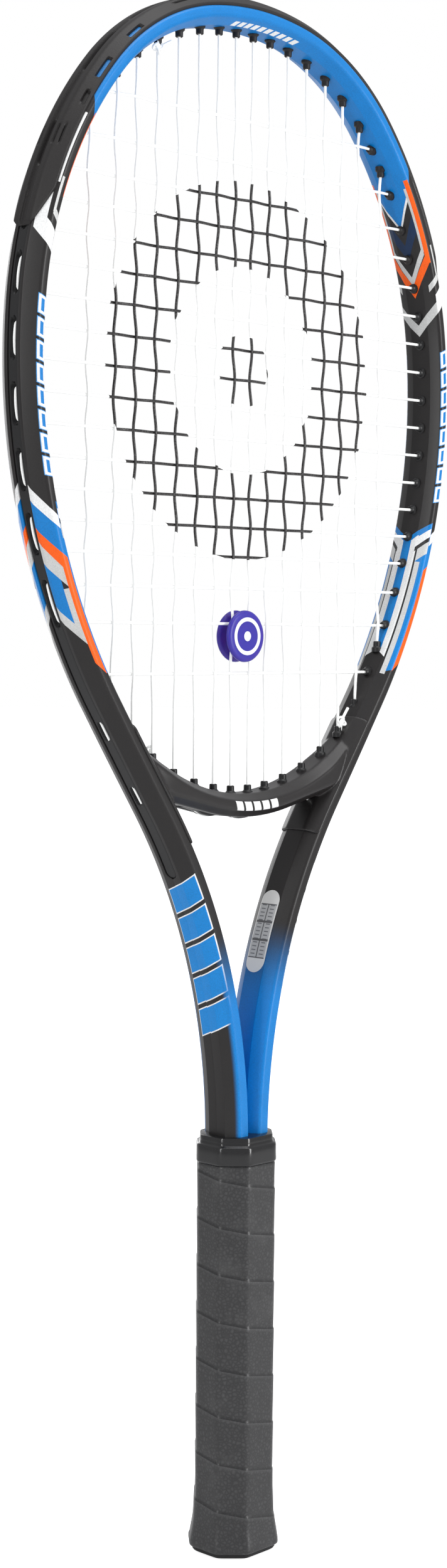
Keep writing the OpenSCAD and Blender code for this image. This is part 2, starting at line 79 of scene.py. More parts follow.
# Centres and radii of the four tangent bends, then the straight arm, the reverse bend and the shaft.
def layHoop():
    bends = np.array(hoop["bends"])
    heading = np.radians(np.concatenate([[0], np.cumsum(hoop["turns"])]))
    centres = [np.array([0, -bends[0]])]
    for i in range(1, 4):
        way = np.array([math.sin(heading[i]), math.cos(heading[i])])
        centres.append(centres[-1] + (bends[i - 1] - bends[i]) * way)
    half = (hoop["insideWidth"] + hoop["tubeWidth"]) / 2
    scale = half / (centres[3][0] + bends[3])
    apex = np.array([0, hoop["length"] - hoop["bumper"] - hoop["tubeWidth"] / 2])
    centres = apex + scale * np.array(centres)
    radii = scale * bends
    last = heading[4]
    side = np.array([math.sin(last), math.cos(last)])
    turn = last - math.pi / 2
    shaftX = (hoop["tubeWidth"] + hoop["shaftGap"]) / 2
    armStart = centres[3] + radii[3] * side
    bendR = hoop["throatRadius"]
    armLength = (armStart[0] - bendR * (1 - math.cos(turn)) - shaftX) / math.sin(turn)
    along = np.array([-math.sin(turn), -math.cos(turn)])
    armEnd = armStart + armLength * along
    throat = armEnd + bendR * side
    lengths = np.concatenate([radii * np.diff(heading), [armLength, bendR * turn]])
    marks = np.concatenate([[0], np.cumsum(lengths)])
    return dict(centres=centres, radii=radii, heading=heading, last=last, turn=turn, side=side,
                armStart=armStart, along=along, throat=throat, shaftX=shaftX, marks=marks,
                end=marks[-1] + throat[1] - hoop["shaftFoot"])


path = layHoop()


# Centreline at arc length s from the apex, left side negative: x, z and the outward normal.
def hoopAt(s):
    s = np.asarray(s, float)
    a = np.abs(s)
    m = path["marks"]
    x, z, h = np.zeros_like(a), np.zeros_like(a), np.zeros_like(a)
    for i in range(4):
        on = (a >= m[i]) & (a <= m[i + 1])
        turned = path["heading"][i] + (a - m[i]) / path["radii"][i]
        x = np.where(on, path["centres"][i][0] + path["radii"][i] * np.sin(turned), x)
        z = np.where(on, path["centres"][i][1] + path["radii"][i] * np.cos(turned), z)
        h = np.where(on, turned, h)
    on = (a > m[4]) & (a <= m[5])
    x = np.where(on, path["armStart"][0] + (a - m[4]) * path["along"][0], x)
    z = np.where(on, path["armStart"][1] + (a - m[4]) * path["along"][1], z)
    h = np.where(on, path["last"], h)
    on = (a > m[5]) & (a <= m[6])
    left = path["turn"] - (a - m[5]) / hoop["throatRadius"]
    x = np.where(on, path["throat"][0] - hoop["throatRadius"] * np.cos(left), x)
    z = np.where(on, path["throat"][1] + hoop["throatRadius"] * np.sin(left), z)
    h = np.where(on, math.pi / 2 + left, h)
    on = a > m[6]
    x = np.where(on, path["shaftX"], x)
    z = np.where(on, path["throat"][1] - (a - m[6]), z)
    h = np.where(on, math.pi / 2, h)
    flip = np.where(s < 0, -1.0, 1.0)
    return x * flip, z, np.sin(h) * flip, np.cos(h)


# Tube section in millimetres. The flats, the nose and the groove change a little along the tube.
tube = dict(
    inner=-6.0, innerFlat=5.2, outerFlat=4.8, nose=11.1,
    at=(0, 60, 100, 160, 240, 340, 400, 470, 540, 800),
    outer=(5.9, 5.6, 5.2, 4.4, 3.8, 3.6, 4.6, 5.4, 6.0, 6.0),
    noseMid=(-1.0, -1.4, -1.7, -2.0, -2.2, -2.2, -0.8, -0.4, 0.0, 0.0),
    noseHalf=(1.9, 1.9, 1.9, 1.9, 1.8, 1.8, 2.1, 2.4, 2.6, 2.6),
    grooveHalf=3.15, grooveDepth=3.2, grooveEnd=474.0,
    corner=0.9, noseCorner=2.2, lip=0.35, bedCorner=0.2,  # radii of the rounded corners
    closedHalf=0.4, closedDepth=0.03,  # the groove past its end
    row=2.0, steps=6,
)


# Value of one of the section's sizes at arc length s, eased between its marks.
def sizeAt(name, s):
    fine = np.arange(0, 900, 4.0)  # millimetres, past the foot of the shaft
    soft = runningMean(np.interp(fine, tube["at"], tube[name]))
    return np.interp(np.abs(np.asarray(s, float)) / mm, fine, soft) * mm


# Corners of a row of outlines, each replaced by a curve tangent to both sides:
# start and end lie radius / tan(half angle) from the corner, and the corner is the control point.
def roundCorners(outline, radius, steps):
    before, after = np.roll(outline, 1, axis=1) - outline, np.roll(outline, -1, axis=1) - outline
    lenB = np.linalg.norm(before, axis=2, keepdims=True)
    lenA = np.linalg.norm(after, axis=2, keepdims=True)
    dirB, dirA = before / lenB, after / lenA
    cosine = np.clip((dirB * dirA).sum(2, keepdims=True), -0.9999, 0.9999)
    cut = np.asarray(radius, float).reshape(1, -1, 1) / np.tan(np.arccos(cosine) / 2)
    cut = np.minimum(cut, 0.46 * np.minimum(lenB, lenA))
    start, end = outline + dirB * cut, outline + dirA * cut
    w = np.linspace(0, 1, steps).reshape(1, 1, -1, 1)
    curve = curveTo(start[:, :, None], outline[:, :, None], end[:, :, None], w)
    return curve.reshape(outline.shape[0], -1, 2)


# Half width and depth of the groove at s: full, then closing round its end.
def grooveAt(s):
    past = np.abs(s) / mm - (tube["grooveEnd"] - tube["grooveHalf"])
    inside = np.sqrt(np.clip(tube["grooveHalf"] ** 2 - np.clip(past, 0, None) ** 2, 0, None))
    half = np.maximum(inside, tube["closedHalf"]) * mm
    depth = np.where(past < tube["grooveHalf"], tube["grooveDepth"], tube["closedDepth"]) * mm
    return half, depth


# Outline of the tube at each s: (offset from the centreline, Y), from the groove's middle round the front.
def tubeOutline(s, groove=True):
    one = np.ones_like(s)
    outer, mid, half = (sizeAt(name, s) for name in ("outer", "noseMid", "noseHalf"))
    names = ("inner", "innerFlat", "outerFlat", "nose")
    inner, iFlat, oFlat, nose = (tube[name] * mm * one for name in names)
    wide, deep = grooveAt(s)
    if not groove:
        deep = one * tube["closedDepth"] * mm
    front = [(outer - deep, -wide), (outer, -wide), (outer, -oFlat), (mid + half, -nose),
             (mid - half, -nose), (inner, -iFlat)]
    back = [(o, -y) for o, y in reversed(front)]
    corners = np.stack([np.stack(c, -1) for c in front + back], 1)
    r = [tube[name] for name in ("bedCorner", "lip", "corner", "noseCorner", "noseCorner", "corner")]
    return roundCorners(corners, np.array(r + r[::-1]) * mm, tube["steps"])


# Point on the plane of the hoop: offset o outwards from the centreline at s, and y.
def place(s, o, y):
    x, z, nx, nz = hoopAt(s)
    while x.ndim < np.ndim(o):
        x, z, nx, nz = x[..., None], z[..., None], nx[..., None], nz[..., None]
    o, y = np.broadcast_arrays(o, y)
    return np.stack([x + o * nx, y + 0 * x, z + o * nz], -1)


# Girth of each ring point from the middle of the inner face, front side positive.
def girthOf(outline):
    closed = np.concatenate([outline, outline[:, :1]], 1)
    run = np.concatenate([np.zeros((len(outline), 1)),
                          np.cumsum(np.linalg.norm(np.diff(closed, axis=1), axis=2), 1)], 1)
    gap = np.linalg.norm(outline[:, 0] - outline[:, -1], axis=1)[:, None]
    return run[:, -1:] / 2 - gap / 2 - run


# Point of the tube's skin at (s, v), v the girth from the middle of the inner face, lifted by off.
def skin(s, v, off=0.0, groove=False):
    shape = np.broadcast(s, v).shape
    s1, v1 = np.broadcast_to(s, shape).ravel(), np.broadcast_to(v, shape).ravel()
    rows, back = np.unique(s1, return_inverse=True)
    outline = tubeOutline(rows, groove)
    girth = girthOf(outline)[:, :-1]
    o, y, dirO, dirY = (np.zeros_like(s1) for _ in range(4))
    probe = 0.2 * mm  # half of the span that gives the skin's direction
    for i in range(len(rows)):
        on = back == i
        g, ring = girth[i][::-1], outline[i][::-1]
        ahead, behind = v1[on] + probe, v1[on] - probe
        o[on], y[on] = (np.interp(v1[on], g, ring[:, k]) for k in (0, 1))
        dirO[on], dirY[on] = (np.interp(ahead, g, ring[:, k]) - np.interp(behind, g, ring[:, k])
                              for k in (0, 1))
    size = np.hypot(dirO, dirY) + 1e-12
    o, y = o - off * dirY / size, y + off * dirO / size
    return place(s1, o, y).reshape(shape + (3,))


# meshes from grids of points


# A mesh being gathered: corners, faces as vertex numbers, and a UV for each face corner.
def newShape():
    return dict(count=0, points=[], loops=[], sizes=[], uv=[])


# Adds a grid of points (rows, ring). Quads join each row to the next; the ring closes on itself,
# the rows too when loop is true, and otherwise both ends get a flat cap. Faces end up outwards,
# judged by the sign of the volume that they close.
def addGrid(shape, points, u=None, v=None, ring=True, loop=False, caps=True):
    n, m = points.shape[:2]
    rows = n if loop else n - 1
    cols = m if ring else m - 1
    i, j = np.meshgrid(np.arange(rows), np.arange(cols), indexing="ij")
    i2, j2 = (i + 1) % n, (j + 1) % m
    quads = np.stack([i * m + j, i * m + j2, i2 * m + j2, i2 * m + j], -1).reshape(-1, 4)
    u = np.zeros(n) if u is None else np.asarray(u, float)
    v = np.tile(np.linspace(0, 1, m + 1), (n, 1)) if v is None else v
    ue = np.append(u, u[0]) if loop else u
    ve = np.concatenate([v, v[:1]]) if loop else v
    uvs = np.stack([np.stack([ue[i], ve[i, j]], -1), np.stack([ue[i], ve[i, j + 1]], -1),
                    np.stack([ue[i + 1], ve[i + 1, j + 1]], -1), np.stack([ue[i + 1], ve[i + 1, j]], -1)],
                   2).reshape(-1, 2)
    flat = points.reshape(-1, 3)
    centre = flat.mean(0)
    a, b, c, d = (flat[quads[:, k]] - centre for k in range(4))
    volume = (a * np.cross(b, c)).sum() + (a * np.cross(c, d)).sum()
    ends = []
    if caps and not loop:
        ends = [np.arange(m)[::-1], (n - 1) * m + np.arange(m)]
    if volume < 0:
        quads = quads[:, ::-1]
        uvs = uvs.reshape(-1, 4, 2)[:, ::-1].reshape(-1, 2)
        ends = [e[::-1] for e in ends]
    shape["points"].append(flat)
    shape["loops"].append(quads.ravel() + shape["count"])
    shape["sizes"].append(np.full(len(quads), 4))
    shape["uv"].append(uvs)
    for e in ends:
        shape["loops"].append(e + shape["count"])
        shape["sizes"].append(np.array([m]))
        row, col = e // m, e % m
        shape["uv"].append(np.stack([u[row], v[row, col]], -1))
    shape["count"] += len(flat)


# Puts a mesh, a lamp or a camera in the scene as an object.
def putInScene(name, data):
    thing = bpy.data.objects.new(name, data)
    bpy.context.scene.collection.objects.link(thing)
    return thing


# Makes the object, with smooth faces and creases sharper than the angle kept crisp.
def finishShape(shape, name, material, body="racket", hides=(), sharp=38):
    mesh = bpy.data.meshes.new(name)
    points = np.concatenate(shape["points"]).astype(np.float32)
    loops = np.concatenate(shape["loops"]).astype(np.int32)
    sizes = np.concatenate(shape["sizes"]).astype(np.int32)
    mesh.vertices.add(len(points))
    mesh.vertices.foreach_set("co", points.ravel())
    mesh.loops.add(len(loops))
    mesh.loops.foreach_set("vertex_index", loops)
    mesh.polygons.add(len(sizes))
    mesh.polygons.foreach_set("loop_start", np.concatenate([[0], np.cumsum(sizes)[:-1]]).astype(np.int32))
    mesh.polygons.foreach_set("use_smooth", np.ones(len(sizes), bool))
    mesh.update(calc_edges=True)
    layer = mesh.uv_layers.new(name="surface")
    layer.data.foreach_set("uv", np.concatenate(shape["uv"]).astype(np.float32).ravel())
    mesh.validate()
    mesh.set_sharp_from_angle(angle=math.radians(sharp))
    piece = putInScene(name, mesh)
    mesh.materials.append(material)
    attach(piece, body)
    if hides:
        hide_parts(*hides)
    return piece


# A tube along points: at each one a circle across the tangent, turned so that one radius stays in the
# racket's plane. The radius may change along the way.
def addCord(shape, points, radius, sides=8, caps=True, loop=False):
    if loop:
        tangent = np.roll(points, -1, 0) - np.roll(points, 1, 0)
    else:
        tangent = np.gradient(points, axis=0)
    tangent /= np.linalg.norm(tangent, axis=1, keepdims=True)
    depth = np.array([0.0, 1.0, 0.0]) - tangent * tangent[:, 1:2]
    depth /= np.linalg.norm(depth, axis=1, keepdims=True)
    across = np.cross(tangent, depth)
    turn = circle(sides)
    r = np.broadcast_to(radius, len(points))[:, None, None]
    ring = points[:, None] + r * (np.cos(turn)[None, :, None] * across[:, None]
                                  + np.sin(turn)[None, :, None] * depth[:, None])
    run = np.concatenate([[0], np.cumsum(np.linalg.norm(np.diff(points, axis=0), axis=1))])
    addGrid(shape, ring, u=run, caps=caps, loop=loop)


# A shape of revolution: profile (radius, height) turned about an axis through a centre.
def addTurned(shape, profile, centre, axis, sides=20, closed=False):
    axis = np.asarray(axis, float) / np.linalg.norm(axis)
    helper = np.array([0.0, 1.0, 0.0]) if abs(axis[1]) < 0.9 else np.array([1.0, 0.0, 0.0])
    a = np.cross(axis, helper)
    a /= np.linalg.norm(a)
    b = np.cross(axis, a)
    turn = circle(sides)
    out = np.cos(turn)[:, None] * a + np.sin(turn)[:, None] * b
    profile = np.asarray(profile, float)
    points = np.asarray(centre) + profile[:, 0][:, None, None] * out + profile[:, 1][:, None, None] * axis
    addGrid(shape, points, u=profile[:, 1], loop=closed, caps=not closed)


# materials


# Colour from its eight-bit display values.
def tint(r, g, b):
    c = np.array([r, g, b]) / 255
    lin = np.where(c <= 0.04045, c / 12.92, ((c + 0.055) / 1.055) ** 2.4)
    return (*lin.tolist(), 1.0)


# Sets a node's inputs: a socket is linked, any other value becomes the input's own.
def feedInputs(tree, node, inputs):
    for key, value in (inputs or {}).items():
        if isinstance(value, bpy.types.NodeSocket):
            tree.links.new(value, node.inputs[key])
        else:
            node.inputs[key].default_value = value
    return node


def addNode(tree, kind, inputs=None, **settings):
    node = tree.nodes.new(kind)
    for key, value in settings.items():
        setattr(node, key, value)
    return feedInputs(tree, node, inputs)


def useGroup(tree, group, inputs):
    return addNode(tree, "ShaderNodeGroup", inputs, node_tree=group)


def calc(tree, operation, *values, clamp=False):
    node = addNode(tree, "ShaderNodeMath", dict(enumerate(values)), operation=operation, use_clamp=clamp)
    return node.outputs[0]


def mixColour(tree, mask, under, over, blend="MIX"):
    node = addNode(tree, "ShaderNodeMix", {0: mask, 6: under, 7: over}, data_type="RGBA", blend_type=blend)
    return node.outputs[2]


# Depth of a value inside a range, negative outside it: min(value - low, high - value).
def within(tree, value, low, high):
    return calc(tree, "MINIMUM", calc(tree, "SUBTRACT", value, low), calc(tree, "SUBTRACT", high, value))


# One where |value| is under the limit.
def nearZero(tree, value, limit):
    return calc(tree, "LESS_THAN", calc(tree, "ABSOLUTE", value), limit)


# Distance from the origin: sqrt(a^2 + b^2).
def awayFrom(tree, a, b):
    return calc(tree, "SQRT", calc(tree, "ADD", calc(tree, "MULTIPLY", a, a), calc(tree, "MULTIPLY", b, b)))


# The piece's own place: the object's coordinates, and their three parts in millimetres.
def objectPlace(tree):
    where = addNode(tree, "ShaderNodeTexCoord").outputs["Object"]
    split = addNode(tree, "ShaderNodeSeparateXYZ", {0: where})
    return where, [calc(tree, "MULTIPLY", part, toMm) for part in split.outputs]


# The two surface coordinates that the grid of the piece was given.
def surfacePlace(tree):
    uv = addNode(tree, "ShaderNodeUVMap", uv_map="surface")
    return addNode(tree, "ShaderNodeSeparateXYZ", {0: uv.outputs[0]}).outputs[:2]


# A node group of plain numbers: its inputs with their values, its outputs, and the sockets of both.
def newGroup(name, takes, gives):
    group = bpy.data.node_groups.new(name, "ShaderNodeTree")
    kind = "NodeSocketFloat"
    for label, value in takes.items():
        socket = group.interface.new_socket(name=label, in_out="INPUT", socket_type=kind)
        socket.default_value = value
    for label in gives:
        group.interface.new_socket(name=label, in_out="OUTPUT", socket_type=kind)
    return group, group.nodes.new("NodeGroupInput").outputs, group.nodes.new("NodeGroupOutput").inputs


# Painted band between two slanted ends: start + slope * v < a < end + slope * v, and low < v < high.
def makeBandGroup():
    takes = dict.fromkeys(("Along", "Girth", "Start", "Start slope", "End", "End slope"), 0.0)
    takes.update(Low=0.0, High=40.0, Soft=0.12)
    group, g, out = newGroup("paintBand", takes, ["Mask"])
    start = calc(group, "MULTIPLY_ADD", g["Girth"], g["Start slope"], g["Start"])
    end = calc(group, "MULTIPLY_ADD", g["Girth"], g["End slope"], g["End"])
    depth = calc(group, "MINIMUM", within(group, g["Along"], start, end),
                 within(group, g["Girth"], g["Low"], g["High"]))
    group.links.new(calc(group, "ADD", calc(group, "DIVIDE", depth, g["Soft"]), 0.5, clamp=True), out["Mask"])
    return group


# Row of slanted bars: the place within one pitch is frac((a + lean * (v - low) - start) / pitch) * pitch,
# and a bar fills the part of it between margin and fill - margin.
def makeBarGroup():
    takes = ("Along", "Girth", "Start", "End", "Low", "High", "Pitch", "Fill", "Lean", "Margin")
    group, g, out = newGroup("barRow", dict.fromkeys(takes, 0.0), ["Mask"])
    leaned = calc(group, "MULTIPLY_ADD", calc(group, "SUBTRACT", g["Girth"], g["Low"]), g["Lean"], g["Along"])
    turns = calc(group, "DIVIDE", calc(group, "SUBTRACT", leaned, g["Start"]), g["Pitch"])
    inPitch = calc(group, "MULTIPLY", calc(group, "FRACT", turns), g["Pitch"])
    inBar = within(group, inPitch, g["Margin"], calc(group, "SUBTRACT", g["Fill"], g["Margin"]))
    inRow = within(group, leaned, g["Start"], g["End"])
    across = calc(group, "SUBTRACT", within(group, g["Girth"], g["Low"], g["High"]), g["Margin"])
    depth = calc(group, "MINIMUM", calc(group, "MINIMUM", inBar, inRow), across)
    sharpness = 8.0  # the mask goes from 0 to 1 over an eighth of a millimetre
    group.links.new(calc(group, "MULTIPLY_ADD", depth, sharpness, 0.5, clamp=True), out["Mask"])
    return group


# Fine grain of a surface: two scales of noise on the piece's own place, as a shade about one,
# 1 + strength * (fine + 0.35 coarse - their mean), and as a height.
def makeGrainGroup():
    group, given, out = newGroup("surfaceGrain", dict(Size=1500.0, Strength=0.1), ["Shade", "Height"])
    where = addNode(group, "ShaderNodeTexCoord").outputs["Object"]
    fine = addNode(group, "ShaderNodeTexNoise", {"Vector": where, "Scale": given["Size"], "Detail": 2.0,
                                                 "Roughness": 0.6}).outputs["Fac"]
    coarse = addNode(group, "ShaderNodeTexNoise", {"Vector": where, "Scale": 90.0,
                                                   "Detail": 3.0}).outputs["Fac"]
    share, mean = 0.35, 0.675
    both = calc(group, "MULTIPLY_ADD", coarse, share, fine)
    spread = calc(group, "MULTIPLY", calc(group, "SUBTRACT", both, mean), given["Strength"])
    group.links.new(calc(group, "ADD", spread, 1.0), out["Shade"])
    group.links.new(fine, out["Height"])
    return group


# Handling wear: rubs and dust as a soft mask, where a cloudy noise rises over its edge: 6 (noise - edge).
def makeWearGroup():
    group, given, out = newGroup("handlingWear", dict(Size=60.0, Edge=0.6), ["Mask"])
    where = addNode(group, "ShaderNodeTexCoord").outputs["Object"]
    cloud = addNode(group, "ShaderNodeTexNoise", {"Vector": where, "Scale": given["Size"], "Detail": 5.0,
                                                  "Roughness": 0.65}).outputs["Fac"]
    steepness = 6.0
    lifted = calc(group, "SUBTRACT", cloud, given["Edge"])
    group.links.new(calc(group, "MULTIPLY", lifted, steepness, clamp=True), out["Mask"])
    return group


paintBand, barRow = makeBandGroup(), makeBarGroup()
surfaceGrain, handlingWear = makeGrainGroup(), makeWearGroup()


# A material and its shader; fixed holds the shader's own values, with _ for each space in their names.
def newMaterial(name, roughness=0.5, **fixed):
    material = bpy.data.materials.new(name)
    material.use_nodes = True
    tree = material.node_tree
    shader = tree.nodes["Principled BSDF"]
    values = {"Roughness": roughness, "Specular_IOR_Level": 0.35, **fixed}
    feedInputs(tree, shader, {key.replace("_", " "): value for key, value in values.items()})
    return material, tree, shader


# Bump from a height, into the shader's normal.
def addBump(tree, shader, height, strength, depth):
    lump = addNode(tree, "ShaderNodeBump", {"Strength": strength, "Distance": depth, "Height": height})
    tree.links.new(lump.outputs["Normal"], shader.inputs["Normal"])


# Base colour times the grain's shade, with a bump from the grain, and from the first roughness to the
# second where it is rubbed.
def finishMaterial(tree, shader, colour, size, strength, bump, depth, roughness, wear):
    grain = useGroup(tree, surfaceGrain, {"Size": size, "Strength": strength})
    shade = addNode(tree, "ShaderNodeCombineColor", {k: grain.outputs["Shade"] for k in range(3)})
    tree.links.new(mixColour(tree, 1.0, colour, shade.outputs[0], "MULTIPLY"), shader.inputs["Base Color"])
    rubbed = useGroup(tree, handlingWear, {"Size": wear[0], "Edge": wear[1]})
    rough = calc(tree, "MULTIPLY_ADD", rubbed.outputs["Mask"], roughness[1] - roughness[0], roughness[0])
    tree.links.new(rough, shader.inputs["Roughness"])
    addBump(tree, shader, grain.outputs["Height"], bump, depth)


# A material of one colour. The wear is its noise scale and its edge; a lower edge rubs more of the piece.
def plainMaterial(name, rgb, size, strength, bump, roughness, depth=0.0001, wear=(60.0, 0.6), **fixed):
    material, tree, shader = newMaterial(name, **fixed)
    colour = addNode(tree, "ShaderNodeRGB").outputs[0]
    colour.default_value = tint(*rgb)
    finishMaterial(tree, shader, colour, size, strength, bump, depth, roughness, wear)
    return material


print("material groups ready")

# places of the strings and of their holes
strings = dict(
    mainGaps=(5.5, 11, 12.1, 12.7, 12.9, 12.2, 12, 15.6), mainReach=0.747,
    crossGaps=(19.5, 15.8, 13.4, 13.4, 13.4, 13.4, 13.4, 13.4, 13.3, 13.3, 13.3, 13, 13, 13, 14, 15.7, 22),
    crossTop=0.117, crossFoot=0.157, diameter=1.3 * mm, lift=0.7 * mm, bed=1.75 * mm, bend=1.3 * mm,
    clear=3 * mm, settle=9 * mm, bow=0.5 * mm, loopStep=1.6 * mm,  # of a woven run and of a loop outside
)
bridge = dict(
    drop=2 * mm, mains=4,
    # half of its section in millimetres: depth under the top face, what its ends and its web add to that,
    # then Y, and what its ends add to that
    section=((0, 0.8, 0, 5.2, -1.2), (3.4, 0, 0, 10.7, -3.0), (7.2, -3.4, 3.4, 10.7, -3.0),
             (10.4, -5.2, 3.4, 6.6, 0), (10.4, -5.2, 3.4, 3.7, 0)),
)
bridge["height"] = bridge["section"][-1][0] * mm
bumperTurn = 71  # degrees that the hoop has turned through where the side strips take over from the bumper
last, third = path["last"], path["centres"][3]
across = -third[0] / math.sin(last)
bridge["z"] = third[1] + across * math.cos(last)
bridge["radius"] = path["radii"][3] + tube["inner"] * mm - across + bridge["drop"]
bridge["top"] = bridge["z"] - bridge["radius"]
bridge["meet"] = path["armStart"][0] + tube["inner"] * mm * math.sin(last)
apexZ = hoop["length"] - hoop["bumper"] - hoop["tubeWidth"] / 2
headLength = apexZ + tube["inner"] * mm - bridge["top"]
mainStep = strings["mainReach"] * hoop["insideWidth"] / 2 / sum(strings["mainGaps"])
halfMains = mainStep * np.cumsum(strings["mainGaps"])
mainX = np.concatenate([-halfMains[::-1], halfMains])
crossFirst = apexZ + tube["inner"] * mm - strings["crossTop"] * headLength
crossLast = bridge["top"] + strings["crossFoot"] * headLength
crossStep = (crossFirst - crossLast) / sum(strings["crossGaps"])
crossZ = crossFirst - crossStep * np.concatenate([[0], np.cumsum(strings["crossGaps"])])
bumperEnd = float(np.interp(bumperTurn, np.degrees(path["heading"]), path["marks"][:5]))


# Height of the bridge's arc at x, extra below its top face: z = centre - sqrt((r + extra)^2 - x^2).
def bridgeArc(x, extra=0.0):
    return bridge["z"] - np.sqrt((bridge["radius"] + extra) ** 2 - np.asarray(x) ** 2)


fineS = np.arange(0, 0.64, 0.0005)  # arc lengths from the apex to below the bridge, for searches


# Arc length at which a line at offset off from the centreline meets a main (x) or a cross (z). Each
# search keeps to a span of the line over which x or z runs one way.
def meetS(off, x=None, z=None, foot=False):
    lineX, lineZ, nx, nz = hoopAt(fineS)
    lineX, lineZ = lineX + off * nx, lineZ + off * nz
    if z is not None:
        on = (fineS > 0.01) & (fineS < 0.5)
        return float(np.interp(-z, -lineZ[on], fineS[on]))
    if foot:
        on = (fineS > 0.28) & (fineS < 0.56)
        return float(np.interp(-abs(x), -lineX[on], fineS[on]))
    on = fineS < 0.2
    return float(np.interp(abs(x), lineX[on], fineS[on]))


innerOff = np.full_like(fineS, tube["inner"] * mm)
bedOff = sizeAt("outer", fineS) - strings["bed"]


def sideOf(x):
    return -1.0 if x < 0 else 1.0


def pointAt(s, off):
    x, z, nx, nz = hoopAt(np.array([s]))
    return np.array([x[0] + off * nx[0], 0.0, z[0] + off * nz[0]])


# Point on the bed of the groove at s.
def bedPoint(s):
    return pointAt(s, float(sizeAt("outer", s) - strings["bed"]))


# Foot of a main on the inner side: on the bridge's top face, or on the arm beside it.
def footOf(x):
    if abs(x) < bridge["meet"]:
        return np.array([x, 0, float(bridgeArc(x))])
    return np.array([x, 0, pointAt(meetS(innerOff, x=x, foot=True), tube["inner"] * mm)[2]])


# ends of each main and cross: arc lengths on the groove's bed, and points on the inner face
topS = [sideOf(x) * meetS(bedOff, x=x) for x in mainX]
topIn = [pointAt(sideOf(x) * meetS(innerOff, x=x), tube["inner"] * mm) for x in mainX]
underBridge = [abs(x) < halfMains[bridge["mains"] - 1] + 1 * mm for x in mainX]
footS = [sideOf(x) * meetS(bedOff, x=x, foot=True) for x in mainX]
footIn = [footOf(x) for x in mainX]
crossS = [meetS(bedOff, z=z) for z in crossZ]
crossIn = [pointAt(meetS(innerOff, z=z), tube["inner"] * mm) for z in crossZ]
print("string places ready: mains", len(mainX), "crosses", len(crossZ))

# frame tube

paint = dict(
    black=(33, 31, 31), blue=(0, 122, 198), brightBlue=(4, 130, 208), paleBlue=(72, 150, 215),
    white=(232, 233, 233), grey=(200, 201, 200), orange=(252, 96, 0), navy=(8, 40, 76),
)

# Painted bands, in millimetres: colour, start, its slope, end, its slope, low and high girth.
# The pattern is the same on both sides of the head and on its front and back.
bands = [
    ("blue", -10, 0, 147, -1.8, 0, 40),
    ("white", 147, -1.8, 149.2, -1.8, 0, 10.0),
    ("navy", 156, -1.8, 169, -1.8, 0, 8.6),
    ("black", 164, -1.7, 172, -1.7, 0, 7.8),
    ("grey", 172, -1.6, 176.4, -1.6, 0, 9.2),
    ("grey", 128, 0, 164, -0.4, 8.2, 9.4),
    ("orange", 176.4, -1.5, 182.5, -1.5, 0, 11.4),
    ("orange", 124, 0, 166, 0, 9.4, 11.6),
    ("grey", 196, -0.95, 201.5, -0.95, 0, 17.0),
    ("white", 127, 0, 161, 0, 15.0, 16.6),
    ("white", 98.1, 3.71, 200.9, -0.9, 16.5, 21.4),
    ("white", 191.9, -0.9, 200.9, -0.9, 11.2, 16.5),
    ("grey", 158, 0, 174, 0, 13.4, 14.6),
    ("grey", 184.5, -0.9, 187.8, -0.9, 8.4, 14.4),
    ("white", 315.2, -1.27, 320, -1.2, 12.0, 29.5),
    ("blue", 320, -1.2, 333.5, -1.3, 12.0, 29.5),
    ("orange", 333.5, -1.3, 344, -1.5, 11.6, 29.5),
    ("grey", 344, -1.5, 350.8, -1.4, 15.4, 29.5),
    ("blue", 350.8, -1.4, 372, -1.5, 17.7, 29.5),
    ("grey", 330, 0, 384, -2.0, 15.4, 17.7),
    ("grey", 372, -1.5, 380, -1.6, 15.4, 29.5),
    ("orange", 318, 0, 398, -2.2, 12.2, 15.4),
    ("blue", 302, -0.68, 378, -0.6, 0, 12.2),
    ("white", 305, -0.74, 361, 0.9, 2.4, 6.2),
    ("white", 306, -0.78, 311.5, -0.9, 2.4, 12.0),
    ("black", 311.5, -0.9, 313.8, -0.9, 5.4, 12.0),
    ("black", 306, 0, 371, 0, 6.0, 6.9),
    ("grey", 313.8, -0.9, 320, -0.9, 6.9, 12.0),
    ("grey", 314, 0, 374, 0, 6.9, 9.4),
    ("black", 361, 0.7, 400, 0, 0, 6.9),
]
# Rows of bars: colour, place across, start, end, low, high, pitch, fill, lean, margin. The place across is
# "inner", the girth from the middle of the inner face; "outer", that from the middle of the outer face; or
# "top", a row across the apex, with signed places.
rows = [
    ("paleBlue", "inner", 210, 285, 10.6, 15.4, 9.4, 8.2, 0.35, 0.0),
    ("white", "inner", 210, 285, 10.6, 15.4, 9.4, 8.2, 0.35, 0.35),
    ("blue", "inner", 210, 285, 10.6, 15.4, 9.4, 8.2, 0.35, 1.5),
    ("white", "outer", 480, 553, -5.4, 12.2, 14.8, 12.8, 0.42, 0.0),
    ("brightBlue", "outer", 480, 553, -5.4, 12.2, 14.8, 12.8, 0.42, 0.6),
    ("white", "top", -16, 27, 5.4, 8.6, 4.4, 3.1, -0.4, 0.0),
]
# the shafts fade from black to blue between two places, on their inner and front faces within the rim
shaftFade = dict(start=503.0, end=540.0, rim=19.5, full=17.0, at=0.6)


def easedRange(tree, value, start, end):
    return addNode(tree, "ShaderNodeMapRange", {0: value, 1: start, 2: end},
                   interpolation_type="SMOOTHSTEP").outputs[0]


